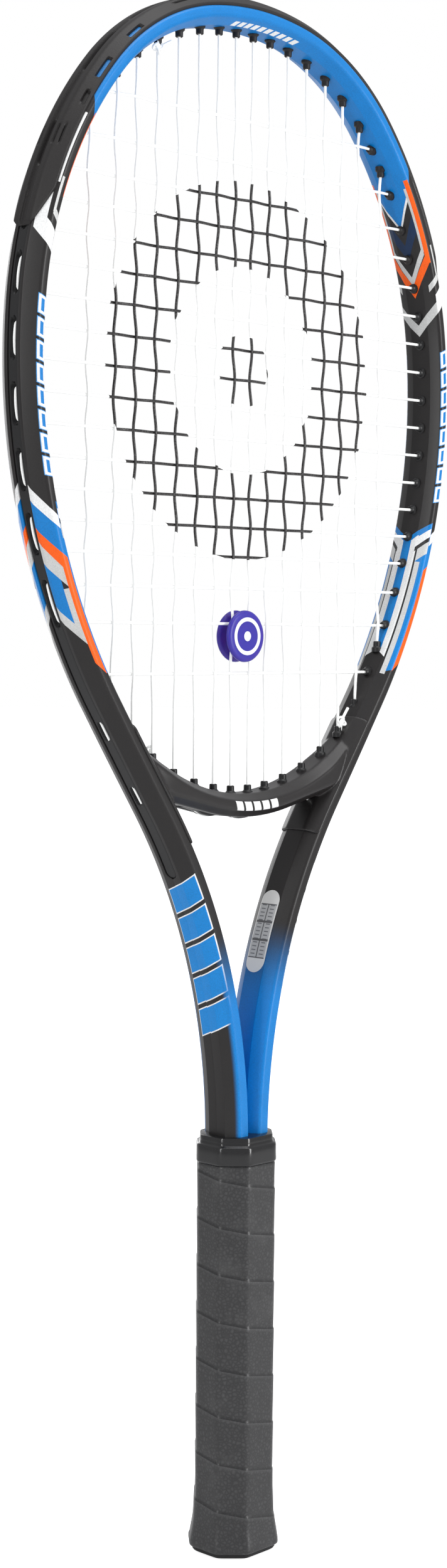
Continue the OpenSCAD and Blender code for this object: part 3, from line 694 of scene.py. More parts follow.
def paintMaterial():
    material, tree, shader = newMaterial("framePaint", Specular_IOR_Level=0.3, Coat_Weight=0.12,
                                         Coat_Roughness=0.25)
    s, v = surfacePlace(tree)
    signed, front = calc(tree, "MULTIPLY", s, toMm), calc(tree, "MULTIPLY", v, toMm)
    along, girth = calc(tree, "ABSOLUTE", signed), calc(tree, "ABSOLUTE", front)
    colour = addNode(tree, "ShaderNodeRGB").outputs[0]
    colour.default_value = tint(*paint["black"])
    for name, start, startSlope, end, endSlope, low, high in bands:
        low -= 1 if low == 0 else 0  # a band over the middle of the inner face has no edge there
        mask = useGroup(tree, paintBand, {
            "Along": along, "Girth": girth, "Start": start, "Start slope": startSlope, "End": end,
            "End slope": endSlope, "Low": low, "High": high}).outputs[0]
        colour = mixColour(tree, mask, colour, tint(*paint[name]))
    half = float(girthOf(tubeOutline(np.array([shaftFade["at"]])))[0, 0]) * toMm  # half of the shaft's girth
    outer = calc(tree, "MULTIPLY", calc(tree, "SUBTRACT", half, girth), calc(tree, "SIGN", v))
    for name, across, start, end, low, high, pitch, fill, lean, margin in rows:
        mask = useGroup(tree, barRow, {
            "Along": signed if across == "top" else along,
            "Girth": {"inner": girth, "outer": outer, "top": front}[across],
            "Start": start, "End": end, "Low": low, "High": high,
            "Pitch": pitch, "Fill": fill, "Lean": lean, "Margin": margin}).outputs[0]
        colour = mixColour(tree, mask, colour, tint(*paint[name]))
    mask = calc(tree, "MULTIPLY", easedRange(tree, along, shaftFade["start"], shaftFade["end"]),
                easedRange(tree, girth, shaftFade["rim"], shaftFade["full"]))
    colour = mixColour(tree, mask, colour, tint(*paint["blue"]))
    finishMaterial(tree, shader, colour, size=1900.0, strength=0.55, bump=0.06, depth=0.00008,
                   roughness=(0.4, 0.5), wear=(45.0, 0.62))
    return material


tubeShape = newShape()
grooveRows = np.arange(0.4695, 0.4745, 0.0004)  # closer rows where the groove ends
rowS = np.unique(np.concatenate([np.arange(-path["end"], path["end"], tube["row"] * mm), [path["end"]],
                                 grooveRows, -grooveRows]))
outline = tubeOutline(rowS)
ringV = girthOf(outline)
addGrid(tubeShape, place(rowS, outline[..., 0], outline[..., 1]), u=rowS, v=ringV)
finishShape(tubeShape, "frameTube", paintMaterial(), hides=["frame_tube"])
print("frame tube made")

# throat bridge

bridgeLook = dict(
    voxel=0.5 * mm, smooth=5, reach=76 * mm,
    endFrom=50 * mm, endOver=26 * mm, webFrom=24 * mm, webOver=24 * mm,  # where the section changes
    recess=1.5 * mm, recessReach=37 * mm, noRecess=0.02 * mm, corners=(1.0, 2.0, 2.0, 0.8, 0.4, 0.4),
    filmStart=399.5 * mm, filmEnd=461 * mm, filmRound=3.2 * mm, filmShare=(0.86, 0.14),
    wrap=12.3 * mm, thick=0.6 * mm, inside=0.9 * mm, frontY=-9.5,
)


def bridgeMaterial():
    material, tree, shader = newMaterial("bridgePlastic", Coat_Weight=0.15, Coat_Roughness=0.25)
    x, y, z = objectPlace(tree)[1]
    # white bars on the front face, along the bridge's arc
    arc = awayFrom(tree, x, calc(tree, "SUBTRACT", bridge["z"] * toMm, z))
    below = calc(tree, "SUBTRACT", arc, bridge["radius"] * toMm)
    mask = useGroup(tree, barRow, {"Along": x, "Girth": below, "Start": -13.0, "End": 14.8, "Low": 3.4,
                                   "High": 7.4, "Pitch": 5.6, "Fill": 4.3, "Lean": -0.3,
                                   "Margin": 0.0}).outputs[0]
    mask = calc(tree, "MULTIPLY", mask, calc(tree, "LESS_THAN", y, bridgeLook["frontY"]))
    colour = mixColour(tree, mask, tint(35, 33, 33), tint(236, 236, 236))
    finishMaterial(tree, shader, colour, size=1900.0, strength=0.4, bump=0.05, depth=0.00008,
                   roughness=(0.34, 0.46), wear=(50.0, 0.6))
    return material


# The bridge: a bar swept along its arc, its section (depth under the top face, Y) easing to a shallower
# one where it runs into the arms, and a film over each arm's inner side; then joined and softened.
def makeBridge():
    look = bridgeLook
    shape = newShape()
    x = np.linspace(-look["reach"], look["reach"], 161)
    w = ease(np.clip((np.abs(x) - look["endFrom"]) / look["endOver"], 0, 1))
    web = np.clip((np.abs(x) - look["webFrom"]) / look["webOver"], 0, 1) ** 2 * (1 - w)
    half = [(depth * mm + depthEnd * mm * w + depthWeb * mm * web, y * mm + yEnd * mm * w)
            for depth, depthEnd, depthWeb, y, yEnd in bridge["section"]]
    recess = np.where(np.abs(x) < look["recessReach"], look["recess"], look["noRecess"])
    half.append((half[-1][0] - recess, half[-1][1]))
    corners = np.stack([np.stack(c, -1) for c in half + [(d, -y) for d, y in reversed(half)]], 1)
    outline = roundCorners(corners, np.array(look["corners"] + look["corners"][::-1]) * mm, 5)
    r = bridge["radius"] + outline[..., 0]
    angle = (x / bridge["radius"])[:, None]
    addGrid(shape, np.stack([r * np.sin(angle), outline[..., 1], bridge["z"] - r * np.cos(angle)], -1))
    s = np.linspace(look["filmStart"], look["filmEnd"], 70)
    ends = np.clip(np.minimum(s - s[0], s[-1] - s) / look["filmRound"], 0, 1)
    least, more = look["filmShare"]
    v = look["wrap"] * (least + more * quarter(ends))[:, None] * np.linspace(-1, 1, 61)
    along = np.broadcast_to(s[:, None], v.shape)
    for sign in (-1, 1):
        over, under = skin(sign * along, v, look["thick"]), skin(sign * along, v, -look["inside"])
        addGrid(shape, np.concatenate([over, under[:, ::-1]], 1))
    rough = finishShape(shape, "throatBridgeRough", bridgeMaterial())
    remesh = rough.modifiers.new("remesh", "REMESH")
    remesh.mode, remesh.voxel_size, remesh.use_smooth_shade = "VOXEL", look["voxel"], True
    soften = rough.modifiers.new("soften", "SMOOTH")
    soften.factor, soften.iterations = 0.5, look["smooth"]
    bpy.context.view_layer.update()
    mesh = bpy.data.meshes.new_from_object(rough.evaluated_get(bpy.context.evaluated_depsgraph_get()))
    bpy.data.objects.remove(rough)
    mesh.name = "throatBridge"
    piece = putInScene("throatBridge", mesh)
    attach(piece, "racket")
    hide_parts("throat_bridge")
    print("throat bridge made,", len(mesh.polygons), "faces")


makeBridge()

# bumper guard, strips and barrels

grommet = dict(radius=1.75 * mm, bore=0.95 * mm, flange=2.5 * mm, tall=3.4 * mm, short=2.4 * mm,
               pocketHalf=1.75 * mm, pocketEdge=0.7 * mm, pocketReach=0.4 * mm, pocketDepth=2.3 * mm,
               stripSink=0.35 * mm, stripGap=0.12 * mm, stripHalf=3.0 * mm, crown=0.25 * mm, step=0.7 * mm)
guard = dict(
    thick=1.3 * mm, inside=0.5 * mm, reach=11.4 * mm, step=1.0 * mm, edge=0.05, tip=1.6 * mm,
    end=14 * mm, taper=17 * mm, taperShare=(0.34, 0.66), taperPower=0.8,
    barrelsFrom=0.5829,  # crosses at or above this height have their barrels in the guard
    channelHalf=2.1 * mm, channelEdge=0.6 * mm, channel=0.9 * mm, pocketReach=0.5 * mm, pocketDepth=1.9 * mm,
    windows=((0.079, 0.0045), (0.104, 0.0055), (0.121, 0.0032)),  # place along the hoop, half length
    windowAt=8.7 * mm, windowHalf=1.15 * mm, windowLean=0.25, windowShift=2.4 * mm, windowEdge=0.35 * mm,
    windowSink=0.35 * mm,
    slots=((0.141, 4.3), (0.141, 6.6), (0.047, 4.3), (0.047, 6.6)),  # place along, millimetres across
    slotHalf=(4.6 * mm, 0.55 * mm), slotLean=0.12, slotEdge=0.3 * mm, slotDepth=0.95 * mm,
)


# A barrel round a string hole, standing on a flange: an outline turned about the string.
def addBarrel(shape, centre, axis, tall):
    r, b, f = grommet["radius"], grommet["bore"], grommet["flange"]
    profile = [(b, -1.6 * mm), (f, -1.6 * mm), (f, 0.35 * mm), (f - 0.25 * mm, 0.6 * mm),
               (r + 0.25 * mm, 0.8 * mm), (r, 1.1 * mm), (r - 0.05 * mm, tall - 0.3 * mm),
               (r - 0.3 * mm, tall), (b + 0.12 * mm, tall), (b, tall - 0.2 * mm)]
    addTurned(shape, profile, centre, axis, sides=20, closed=True)


# Depth of the pockets at (s, y): a round-ended hollow between each pair of holes that a loop joins.
def pockets(s, y, pairs, reach):
    depth = np.zeros(np.broadcast(s, y).shape)
    for a, b in pairs:
        mid, half = (a + b) / 2, abs(b - a) / 2 + reach
        away = np.hypot(np.clip(np.abs(s - mid) - half, 0, None), y) - grommet["pocketHalf"]
        w = np.clip((-away) / grommet["pocketEdge"], 0, 1)
        depth = np.maximum(depth, ease(w))
    return depth


topPairs = [(topS[j], topS[j + 1]) for j in range(0, 16, 2)]
rightPairs = [(crossS[i], crossS[i + 1]) for i in range(0, 17, 2)]
leftPairs = [(-crossS[i], -crossS[i + 1]) for i in range(1, 16, 2)]
rightFoot = [(footS[13], footS[14]), (footS[15], footS[13])]
leftTies = [-meetS(bedOff, x=0.0818, foot=True), -meetS(bedOff, x=0.0626, foot=True)]
leftFoot = [(at - 2.6 * mm, at + 2.6 * mm) for at in leftTies]

nylonBlack = plainMaterial("grommetNylon", (30, 30, 31), size=900.0, strength=0.12, bump=0.08,
                           roughness=(0.38, 0.5))


# Strip in the groove: its face lies just below the groove's lips, with pockets over the loops.
def addStrip(shape, start, end, pairs):
    s = np.arange(start, end, grommet["step"])
    half = np.minimum(grooveAt(s)[0] - grommet["stripGap"], grommet["stripHalf"])
    t = np.linspace(-1, 1, 25)
    y = half[:, None] * t
    face = (sizeAt("outer", s) - grommet["stripSink"])[:, None] - grommet["crown"] * np.abs(t) ** 8
    hollow = pockets(s[:, None], y, pairs, grommet["pocketReach"]) * grommet["pocketDepth"]
    bed = (sizeAt("outer", s) - grooveAt(s)[1] - 0.1 * mm)[:, None]
    o = np.concatenate([np.maximum(face - hollow, bed + 0.2 * mm), np.repeat(bed, 2, axis=1)], 1)
    addGrid(shape, place(s, o, np.concatenate([y, y[:, -1:], y[:, :1]], 1)), u=s)


stripEnd = tube["grooveEnd"] * mm - 0.4 * mm
for name, sign, pairs in (("Left", -1, leftPairs + leftFoot), ("Right", 1, rightPairs + rightFoot)):
    shape = newShape()
    a, b = sorted((sign * (bumperEnd - 6 * mm), sign * stripEnd))
    addStrip(shape, a, b, pairs)
    for at, z in zip(crossIn, crossZ):
        if z < guard["barrelsFrom"]:
            addBarrel(shape, at * np.array([sign, 1, 1]), (-sign, 0, 0), grommet["short"])
    for x, at, under in zip(mainX, footIn, underBridge):
        if x * sign > 0 and not under:
            addBarrel(shape, at, (0, 0, 1), grommet["tall"])
    finishShape(shape, "grommetStrip" + name, nylonBlack, hides=["grommet_strip_" + name.lower()])
print("side strips made")


# Point of the tube's outer side, the groove bridged over, at girth g from its middle, back side positive.
# A Gaussian mean over nine neighbours rounds its corners.
def outerLine(s, g):
    outer, mid, half = (sizeAt(name, s)[:, None] for name in ("outer", "noseMid", "noseHalf"))
    flat, nose = tube["outerFlat"] * mm, tube["nose"] * mm
    a = np.abs(g)
    slope = np.hypot(outer - mid - half, nose - flat)
    w = np.clip((a - flat) / slope, 0, None)
    o = np.where(a < flat, outer, outer - (outer - mid - half) * w)
    y = np.where(a < flat, a, flat + (nose - flat) * w)
    kernel = np.exp(-0.5 * (np.arange(-4, 5) / 2.0) ** 2)
    kernel /= kernel.sum()
    wide = (np.pad(value, ((0, 0), (4, 4)), mode="reflect", reflect_type="odd") for value in (o, y))
    o, y = (sum(kernel[k] * value[:, k:k + g.shape[1]] for k in range(9)) for value in wide)
    return o, np.sign(g) * y


# Share from 0 to 1 inside a rectangle, given the distances past its sides: -max(along, across) / edge.
def insideOf(along, across, edge):
    return np.clip(-np.maximum(along, across) / edge, 0, 1)


# Bumper guard: a skin over the outside of the hoop. Its height over the tube is full between the
# edges, lower in the string channel, and below the tube's skin in the windows, so the paint shows.
def makeBumper():
    s = np.arange(-bumperEnd - guard["end"], bumperEnd + guard["end"], guard["step"])
    a = np.abs(s)[:, None]
    t = np.linspace(-1, 1, 101)
    least, more = guard["taperShare"]
    left = bumperEnd + guard["end"] - a
    g = guard["reach"] * (least + more * np.clip(left / guard["taper"], 0.0, 1) ** guard["taperPower"]) * t
    o, y = outerLine(s, g)
    edge = np.clip((1 - np.abs(t)) / guard["edge"], 0, 1)[None] ** 0.5
    tip = np.clip(left / guard["tip"], 0, 1) ** 0.5
    channel = ease(np.clip((guard["channelHalf"] - np.abs(g)) / guard["channelEdge"], 0, 1))
    loops = pockets(s[:, None], g, topPairs + [rightPairs[0], leftPairs[0]], guard["pocketReach"])
    height = guard["thick"] * edge * tip - guard["channel"] * channel * tip - guard["pocketDepth"] * loops
    for at, half in guard["windows"]:
        along = np.abs(a - at - (guard["windowLean"] * np.abs(g) - guard["windowShift"])) - half
        across = np.abs(np.abs(g) - guard["windowAt"]) - guard["windowHalf"]
        w = insideOf(along, across, guard["windowEdge"])
        height = height * (1 - w) - guard["windowSink"] * w
    for at, middle in guard["slots"]:
        along = np.abs(a - at + guard["slotLean"] * np.abs(g)) - guard["slotHalf"][0]
        across = np.abs(np.abs(g) - middle * mm) - guard["slotHalf"][1]
        height = height - guard["slotDepth"] * insideOf(along, across, guard["slotEdge"])
    dirO, dirY = np.gradient(o, axis=1), np.gradient(y, axis=1)
    size = np.hypot(dirO, dirY)
    outO, outY = o + height * dirY / size, y - height * dirO / size
    inO, inY = o - guard["inside"] * dirY / size, y + guard["inside"] * dirO / size
    shape = newShape()
    ringO, ringY = (np.concatenate([over, low[:, ::-1]], 1) for over, low in ((outO, inO), (outY, inY)))
    addGrid(shape, place(s, ringO, ringY), u=s)
    return shape


bumperShape = makeBumper()
for at in topIn:
    addBarrel(bumperShape, at, (0, 0, -1), grommet["tall"])
for at, z in zip(crossIn, crossZ):
    if z >= guard["barrelsFrom"]:
        for sign in (-1, 1):
            addBarrel(bumperShape, at * np.array([sign, 1, 1]), (-sign, 0, 0), grommet["short"])
bumperNylon = plainMaterial("bumperNylon", (34, 32, 32), size=1300.0, strength=0.5, bump=0.35, depth=0.00015,
                            roughness=(0.5, 0.62))
finishShape(bumperShape, "bumperGuard", bumperNylon, hides=["bumper_guard"])
print("bumper guard made")

# strip under the bridge: an arc of flat oval section, which swells outwards over each string loop
under = dict(reach=36, rows=145, half=3.0 * mm, thick=0.9 * mm, loops=22.5 * mm, loopHalf=4.6 * mm,
             barrelSink=0.2 * mm)


# Oval ring: half * sign(cos) * sqrt(|cos|) across and the same of sin outwards; swell = exp(-(x / loop)^4).
def makeUnderStrip():
    shape = newShape()
    x = np.linspace(-under["reach"], under["reach"], under["rows"]) * mm
    swell = (np.exp(-((np.abs(x) - under["loops"]) / under["loopHalf"]) ** 4)
             + np.exp(-(x / under["loopHalf"]) ** 4))[:, None]
    turn = circle(20)
    across = under["half"] * np.sign(np.cos(turn)) * np.abs(np.cos(turn)) ** 0.5
    out = under["thick"] * np.sign(np.sin(turn)) * np.abs(np.sin(turn)) ** 0.5
    foot = bridge["radius"] + bridge["height"]
    r = foot - under["thick"] + out * (1 + (out > 0) * swell)
    angle = (x / foot)[:, None]
    addGrid(shape, np.stack([r * np.sin(angle), across + 0 * r, bridge["z"] - r * np.cos(angle)], -1), u=x)
    for at, hidden in zip(footIn, underBridge):
        if hidden:
            addBarrel(shape, at - np.array([0, 0, under["barrelSink"]]), (0, 0, 1), grommet["tall"])
    return shape


finishShape(makeUnderStrip(), "grommetStripBridge", nylonBlack, hides=["grommet_strip_bridge"])

# strings: a ring and a dot are stencilled on them, in millimetres; the knots are placed from the hole that
# each one ends at, and their tails leave them, in millimetres too
stencil = dict(z=522.0, inner=46.0, outer=84.0, dot=16.0)
ties = dict(
    scale=0.85 * mm, mainLeft=(1.2, 1.6, 4.6), mainRight=(1.0, -1.4, 5.2),
    crossTop=(-1.0, -1.2, -5.0), crossFoot=(0.9, 1.6, 4.4),
    mainTail=((0, 0, 0), (0.8, -0.4, 2.4), (2.0, -0.8, 4.6), (3.4, -1.0, 6.6)),
    crossTail=((0, 0, 0), (1.6, -0.3, 0.8), (4.0, -0.6, 2.2), (7.5, -0.4, 4.0)),
)


def stringMaterial():
    # The emission is a painted glow: the strings light themselves faintly in their own colour.
    material, tree, shader = newMaterial("stringNylon", 0.22, Coat_Weight=0.3, Coat_Roughness=0.1,
                                         Emission_Strength=0.22)
    x, _, z = objectPlace(tree)[1]
    away = awayFrom(tree, x, calc(tree, "SUBTRACT", z, stencil["z"]))
    ring = calc(tree, "MULTIPLY", calc(tree, "GREATER_THAN", away, stencil["inner"]),
                calc(tree, "LESS_THAN", away, stencil["outer"]))
    mask = calc(tree, "MAXIMUM", ring, calc(tree, "LESS_THAN", away, stencil["dot"]))
    grain = useGroup(tree, surfaceGrain, {"Size": 1400.0, "Strength": 0.3})
    worn = calc(tree, "MULTIPLY", mask, grain.outputs["Shade"], clamp=True)
    colour = mixColour(tree, worn, tint(240, 241, 240), tint(36, 34, 34))
    tree.links.new(colour, shader.inputs["Base Color"])
    tree.links.new(colour, shader.inputs["Emission Color"])  # painted glow: the strings shine faintly in their own colour, so they look bright from every side
    addBump(tree, shader, grain.outputs["Height"], 0.1, 0.00005)
    return material


stringNylon = stringMaterial()


# A short bend where a string turns: five points on the curve whose control point is the corner.
def bendAt(corner, back, ahead):
    a = (back - corner) / np.linalg.norm(back - corner) * strings["bend"]
    b = (ahead - corner) / np.linalg.norm(ahead - corner) * strings["bend"]
    return curveTo(corner + a, corner, corner + b, np.linspace(0, 1, 5)[:, None])


# A loop in the groove from s to t: the bed's line with a slight outward bow, sin(pi w).
def alongGroove(s, t):
    n = max(3, int(abs(t - s) / strings["loopStep"]))
    w = np.linspace(0, 1, n + 1)
    ss = s + (t - s) * w
    off = sizeAt("outer", ss) - strings["bed"] + strings["bow"] * np.sin(math.pi * w)
    return place(ss, off[:, None], 0.0)[:, 0]


# A woven run between two ends: the height over the plane is lift * cos(pi * crossings passed), eased to
# nothing outside the first and the last crossing. The first crossing's place among all of them plus the
# run's own number, even or odd, says which side it starts on.
def woven(start, end, places, number):
    lo, hi = sorted((start, end))
    marks = np.sort(places[(places > lo + strings["clear"]) & (places < hi - strings["clear"])])
    index = np.arange(len(marks))
    inner = np.interp(np.arange(0, len(marks) - 0.99, 0.2), index, marks)
    fine = np.unique(np.concatenate([[lo], inner, [hi], np.linspace(lo, marks[0], 4),
                                     np.linspace(marks[-1], hi, 4)]))
    phase = np.interp(fine, marks, index)
    over = np.clip(np.maximum(marks[0] - fine, fine - marks[-1]) / strings["settle"], 0, 1)
    sign = 1.0 if (int(np.where(places == marks[0])[0][0]) + number) % 2 == 0 else -1.0
    lift = strings["lift"] * np.cos(math.pi * phase) * (1 - ease(over)) * sign
    return (fine, lift) if end > start else (fine[::-1], lift[::-1])


def joinRuns(parts):
    points = np.concatenate(parts)
    keep = np.concatenate([[True], np.linalg.norm(np.diff(points, axis=0), axis=1) > 0.05 * mm])
    return points[keep]


# Small tight knot: a closed trefoil, x = sin t + 2 sin 2t, z = cos t - 2 cos 2t, y = -1.1 sin 3t, leaned
# over in the racket's plane.
def addKnot(shape, centre, lean):
    t = circle(72)
    x, y, z = np.sin(t) + 2 * np.sin(2 * t), -np.sin(3 * t), np.cos(t) - 2 * np.cos(2 * t)
    c, s = math.cos(lean), math.sin(lean)
    points = centre + ties["scale"] * np.stack([x * c - z * s, y * 1.1, x * s + z * c], -1)
    addCord(shape, points, strings["diameter"] / 2 * 0.9, loop=True)


# A string: its path as a cord, with a knot and a tail for each (place, lean, share of the tail's length).
def makeString(name, points, knots, tail, hides):
    shape = newShape()
    addCord(shape, points, strings["diameter"] / 2)
    for centre, lean, share in knots:
        addKnot(shape, centre, lean)
        addCord(shape, centre + np.array(tail) * mm * share, strings["diameter"] / 2)
    finishShape(shape, name, stringNylon, hides=hides, sharp=60)
    print(name, "made:", len(points), "rings")


# Loop of the main string under the bridge, from main j to the next: an arc bowed by sin(pi w).
def underLoop(j):
    w = np.linspace(0, math.pi, 9)
    xs = np.linspace(mainX[j], mainX[j + 1], 9)
    return np.stack([xs, 0 * xs, bridgeArc(xs, bridge["height"] - 0.5 * mm + 1.2 * mm * np.sin(w))], -1)


# The main string: up and down through the head, looping through the bumper above and the
# bridge or the strips below, tied off at the third main from each side.
def mainPath():
    n = len(mainX)
    under = bridge["height"] - 0.6 * mm
    footOut = [np.array([mainX[j], 0, float(bridgeArc(mainX[j], under))]) if underBridge[j]
               else bedPoint(footS[j]) for j in range(n)]
    knotLeft = footIn[2] + np.array(ties["mainLeft"]) * mm
    knotRight = footIn[13] + np.array(ties["mainRight"]) * mm
    parts = [knotLeft[None], footIn[2][None] + np.array([[0.6 * mm, 0.6 * mm, 0]]), footOut[2][None],
             alongGroove(footS[2], footS[0])[1:-1]]
    for j in range(n):
        goesUp = j % 2 == 0
        top, low = bedPoint(topS[j]), footOut[j]
        start, end = (footIn[j][2], topIn[j][2]) if goesUp else (topIn[j][2], footIn[j][2])
        head, tail = (low, top) if goesUp else (top, low)
        z, y = woven(start, end, crossZ, j)
        run = np.stack([np.full_like(z, mainX[j]), y, z], -1)
        before = parts[-1][-1]
        if np.linalg.norm(before - head) <= 2 * mm:
            before = head + np.array([1 * mm, 0, 0])
        if j == n - 1:
            loop = alongGroove(footS[j], footS[13])
        elif goesUp:
            loop = alongGroove(topS[j], topS[j + 1])
        elif underBridge[j] and underBridge[j + 1]:
            loop = underLoop(j)
        elif underBridge[j] or underBridge[j + 1]:
            loop = np.linspace(footOut[j], footOut[j + 1], 4)
        else:
            loop = alongGroove(footS[j], footS[j + 1])
        parts += [bendAt(head, before, run[0]), run, bendAt(tail, run[-1], loop[1]), loop[1:-1]]
    parts += [footOut[13][None], footIn[13][None] + np.array([[0.8 * mm, -0.8 * mm, 0]]), knotRight[None]]
    return joinRuns(parts), knotLeft, knotRight


# The cross string: from a knot by the top of the fourth main from the left, down through every cross,
# to the same main's foot.
def crossPath():
    n = len(crossZ)
    knotTop = topIn[3] + np.array(ties["crossTop"]) * mm
    knotFoot = footIn[3] + np.array(ties["crossFoot"]) * mm
    parts = [knotTop[None], topIn[3][None] + np.array([[-0.6 * mm, -0.5 * mm, 0]]),
             bedPoint(topS[3])[None], alongGroove(topS[3], -crossS[0])[1:-1]]
    for i in range(n):
        way = 1 if i % 2 == 0 else -1  # the even crosses run to the right
        s, reach = way * crossS[i], way * crossIn[i][0]
        x, y = woven(-reach, reach, mainX, i + 1)
        run = np.stack([x, y, np.full_like(x, crossZ[i])], -1)
        loop = alongGroove(s, way * crossS[i + 1] if i < n - 1 else footS[3])
        parts += [bendAt(bedPoint(-s), parts[-1][-1], run[0]), run,
                  bendAt(bedPoint(s), run[-1], loop[1]), loop[1:-1]]
    parts += [bedPoint(footS[3])[None], footIn[3][None] + np.array([[0.5 * mm, 0.5 * mm, 0]]), knotFoot[None]]
    return joinRuns(parts), knotTop, knotFoot


points, knotLeft, knotRight = mainPath()
makeString("mainString", points, ((knotLeft, 0.5, 0.4), (knotRight, -0.6, 1)), ties["mainTail"],
           ["main_string"])
points, knotTop, knotFoot = crossPath()
makeString("crossString", points, ((knotTop, 0.3, 1), (knotFoot, -0.2, 0.3)), ties["crossTail"],
           ["cross_string"])

# dampener: two discs on a core between the middle mains, turned about the Y axis; its half outline is
# (radius, height over the middle) in millimetres, with a raised ring and dot on the face
damper = dict(
    z=404.14 * mm, sides=72, dot=2.2, ringAt=7.5, ringHalf=0.9, frontY=-3.8,
    half=((4.5, 1.4), (5.1, 1.72), (9.8, 1.75), (11.0, 2.0), (11.5, 2.6), (11.45, 3.3), (11.0, 4.0),
          (10.2, 4.32), (9.0, 4.38), (8.5, 4.4), (8.35, 4.62), (6.65, 4.62), (6.5, 4.38), (2.5, 4.36),
          (2.3, 4.6), (0.5, 4.66)),
)


def damperMaterial():
    material, tree, shader = newMaterial("dampenerRubber", Subsurface_Weight=0.06, Coat_Weight=0.1,
                                         Coat_Roughness=0.35)
    x, y, z = objectPlace(tree)[1]
    away = awayFrom(tree, x, calc(tree, "SUBTRACT", z, damper["z"] * toMm))
    ring = nearZero(tree, calc(tree, "SUBTRACT", away, damper["ringAt"]), damper["ringHalf"])
    mark = calc(tree, "MAXIMUM", ring, calc(tree, "LESS_THAN", away, damper["dot"]))
    mask = calc(tree, "MULTIPLY", mark, calc(tree, "LESS_THAN", y, damper["frontY"]))
    colour = mixColour(tree, mask, tint(52, 46, 158), tint(236, 236, 242))
    finishMaterial(tree, shader, colour, size=1500.0, strength=0.14, bump=0.12, depth=0.00008,
                   roughness=(0.36, 0.5), wear=(120.0, 0.58))
    return material


half = np.array(damper["half"])
turned = np.concatenate([half[::-1] * [1, -1], half]) * mm
damperShape = newShape()
addTurned(damperShape, turned, (0, 0, damper["z"]), (0, -1, 0), sides=damper["sides"])
finishShape(damperShape, "dampenerButton", damperMaterial(), body="dampener", hides=["dampener"],
            sharp=50)
print("dampener made")

# rating label: a thin film of pill outline on the right arm's inner edge; its print is given in shares of
# its half length and half width
label = dict(
    start=252 * mm, length=35 * mm, low=-6.2 * mm, high=4.9 * mm, thick=0.12 * mm, sunk=0.1 * mm,
    panel=(0.66, 0.86), cells=(2.27, 1.5), cellHalf=0.44, midLine=0.05,
    inkLines=11.0, inkFill=0.3, inkAt=0.45, inkHalf=0.22,
)


def labelMaterial():
    material, tree, shader = newMaterial("labelFilm", Coat_Weight=0.6, Coat_Roughness=0.15)
    u, v = surfacePlace(tree)  # both run from -1 to 1 over the label
    panel = calc(tree, "MULTIPLY", nearZero(tree, u, label["panel"][0]), nearZero(tree, v, label["panel"][1]))
    inCell = calc(tree, "FRACT", calc(tree, "MULTIPLY_ADD", u, *label["cells"]))
    inCell = nearZero(tree, calc(tree, "SUBTRACT", inCell, 0.5), label["cellHalf"])
    beside = calc(tree, "GREATER_THAN", calc(tree, "ABSOLUTE", v), label["midLine"])
    cell = calc(tree, "MULTIPLY", panel, calc(tree, "MULTIPLY", inCell, beside))
    line = calc(tree, "FRACT", calc(tree, "MULTIPLY", u, label["inkLines"]))
    column = calc(tree, "SUBTRACT", calc(tree, "ABSOLUTE", v), label["inkAt"])
    ink = calc(tree, "MULTIPLY", calc(tree, "LESS_THAN", line, label["inkFill"]),
               nearZero(tree, column, label["inkHalf"]))
    colour = mixColour(tree, panel, tint(236, 236, 234), tint(90, 90, 92))
    colour = mixColour(tree, cell, colour, tint(196, 197, 198))
    colour = mixColour(tree, calc(tree, "MULTIPLY", ink, cell), colour, tint(120, 122, 126))
    finishMaterial(tree, shader, colour, size=900.0, strength=0.05, bump=0.03, depth=0.00005,
                   roughness=(0.3, 0.42), wear=(140.0, 0.6))
    return material


# The pill: half width = sqrt(1 - w^2) over its round ends, as a closed film on the tube's skin.
def makeLabel():
    toS = [path["marks"][6] - math.asin((z - path["throat"][1]) / hoop["throatRadius"]) * hoop["throatRadius"]
           for z in (label["start"], label["start"] + label["length"])]
    middle, halfLength = (toS[0] + toS[1]) / 2, abs(toS[0] - toS[1]) / 2
    midV, halfV = (label["low"] + label["high"]) / 2, (label["high"] - label["low"]) / 2
    u = np.sin(np.linspace(-1, 1, 61) * math.pi / 2) * 0.999
    roundShare = halfV / halfLength
    w = np.clip((np.abs(u) - (1 - roundShare)) / roundShare, 0, 1)
    s = middle + halfLength * u
    v = midV + halfV * np.sqrt(1 - w * w)[:, None] * np.linspace(-1, 1, 25)
    ss = np.broadcast_to(s[:, None], v.shape)
    top, under = skin(ss, v, label["thick"]), skin(ss, v, -label["sunk"])
    shape = newShape()
    across = (v - midV) / halfV
    addGrid(shape, np.concatenate([top, under[:, ::-1]], 1), u=u,
            v=np.concatenate([across, across[:, ::-1], across[:, :1]], 1))
    finishShape(shape, "ratingLabel", labelMaterial(), hides=["rating_label"])


makeLabel()
print("label made")

# handle: an eight-sided form, its size given by how far it has grown from the taped size
handle = dict(
    wide=17.5 * mm, deep=16.0 * mm, slope=17.3 * mm, slopeAt=44.7, power=34, sides=144,
    flare=6 * mm, flareAt=(0, 2, 13.5, 30, 200), flareShare=(0.5 - 1 / 6, 0.5, 0.14, 0.0, 0.0),
    tapeFoot=2.5 * mm, tapeTop=172 * mm, tape=1.7 * mm, row=0.55 * mm, roundEnd=1.2 * mm, endDrop=0.9 * mm,
    pitch=20.7 * mm, step=0.55 * mm, lap=0.55, groove=0.25, seam=1.7 * mm, seamStart=11.2 * mm,
)


def handleRadius(f, grow):
    tilt = math.radians(handle["slopeAt"])
    faces = [(0, handle["wide"]), (tilt, handle["slope"]), (math.pi / 2, handle["deep"]),
             (math.pi - tilt, handle["slope"])]
    total = 0
    for at, distance in faces:
        for turnBack in (0, math.pi):
            total = total + (np.clip(np.cos(f - at - turnBack), 0, 1) / (distance + grow)) ** handle["power"]
    return total ** (-1 / handle["power"])


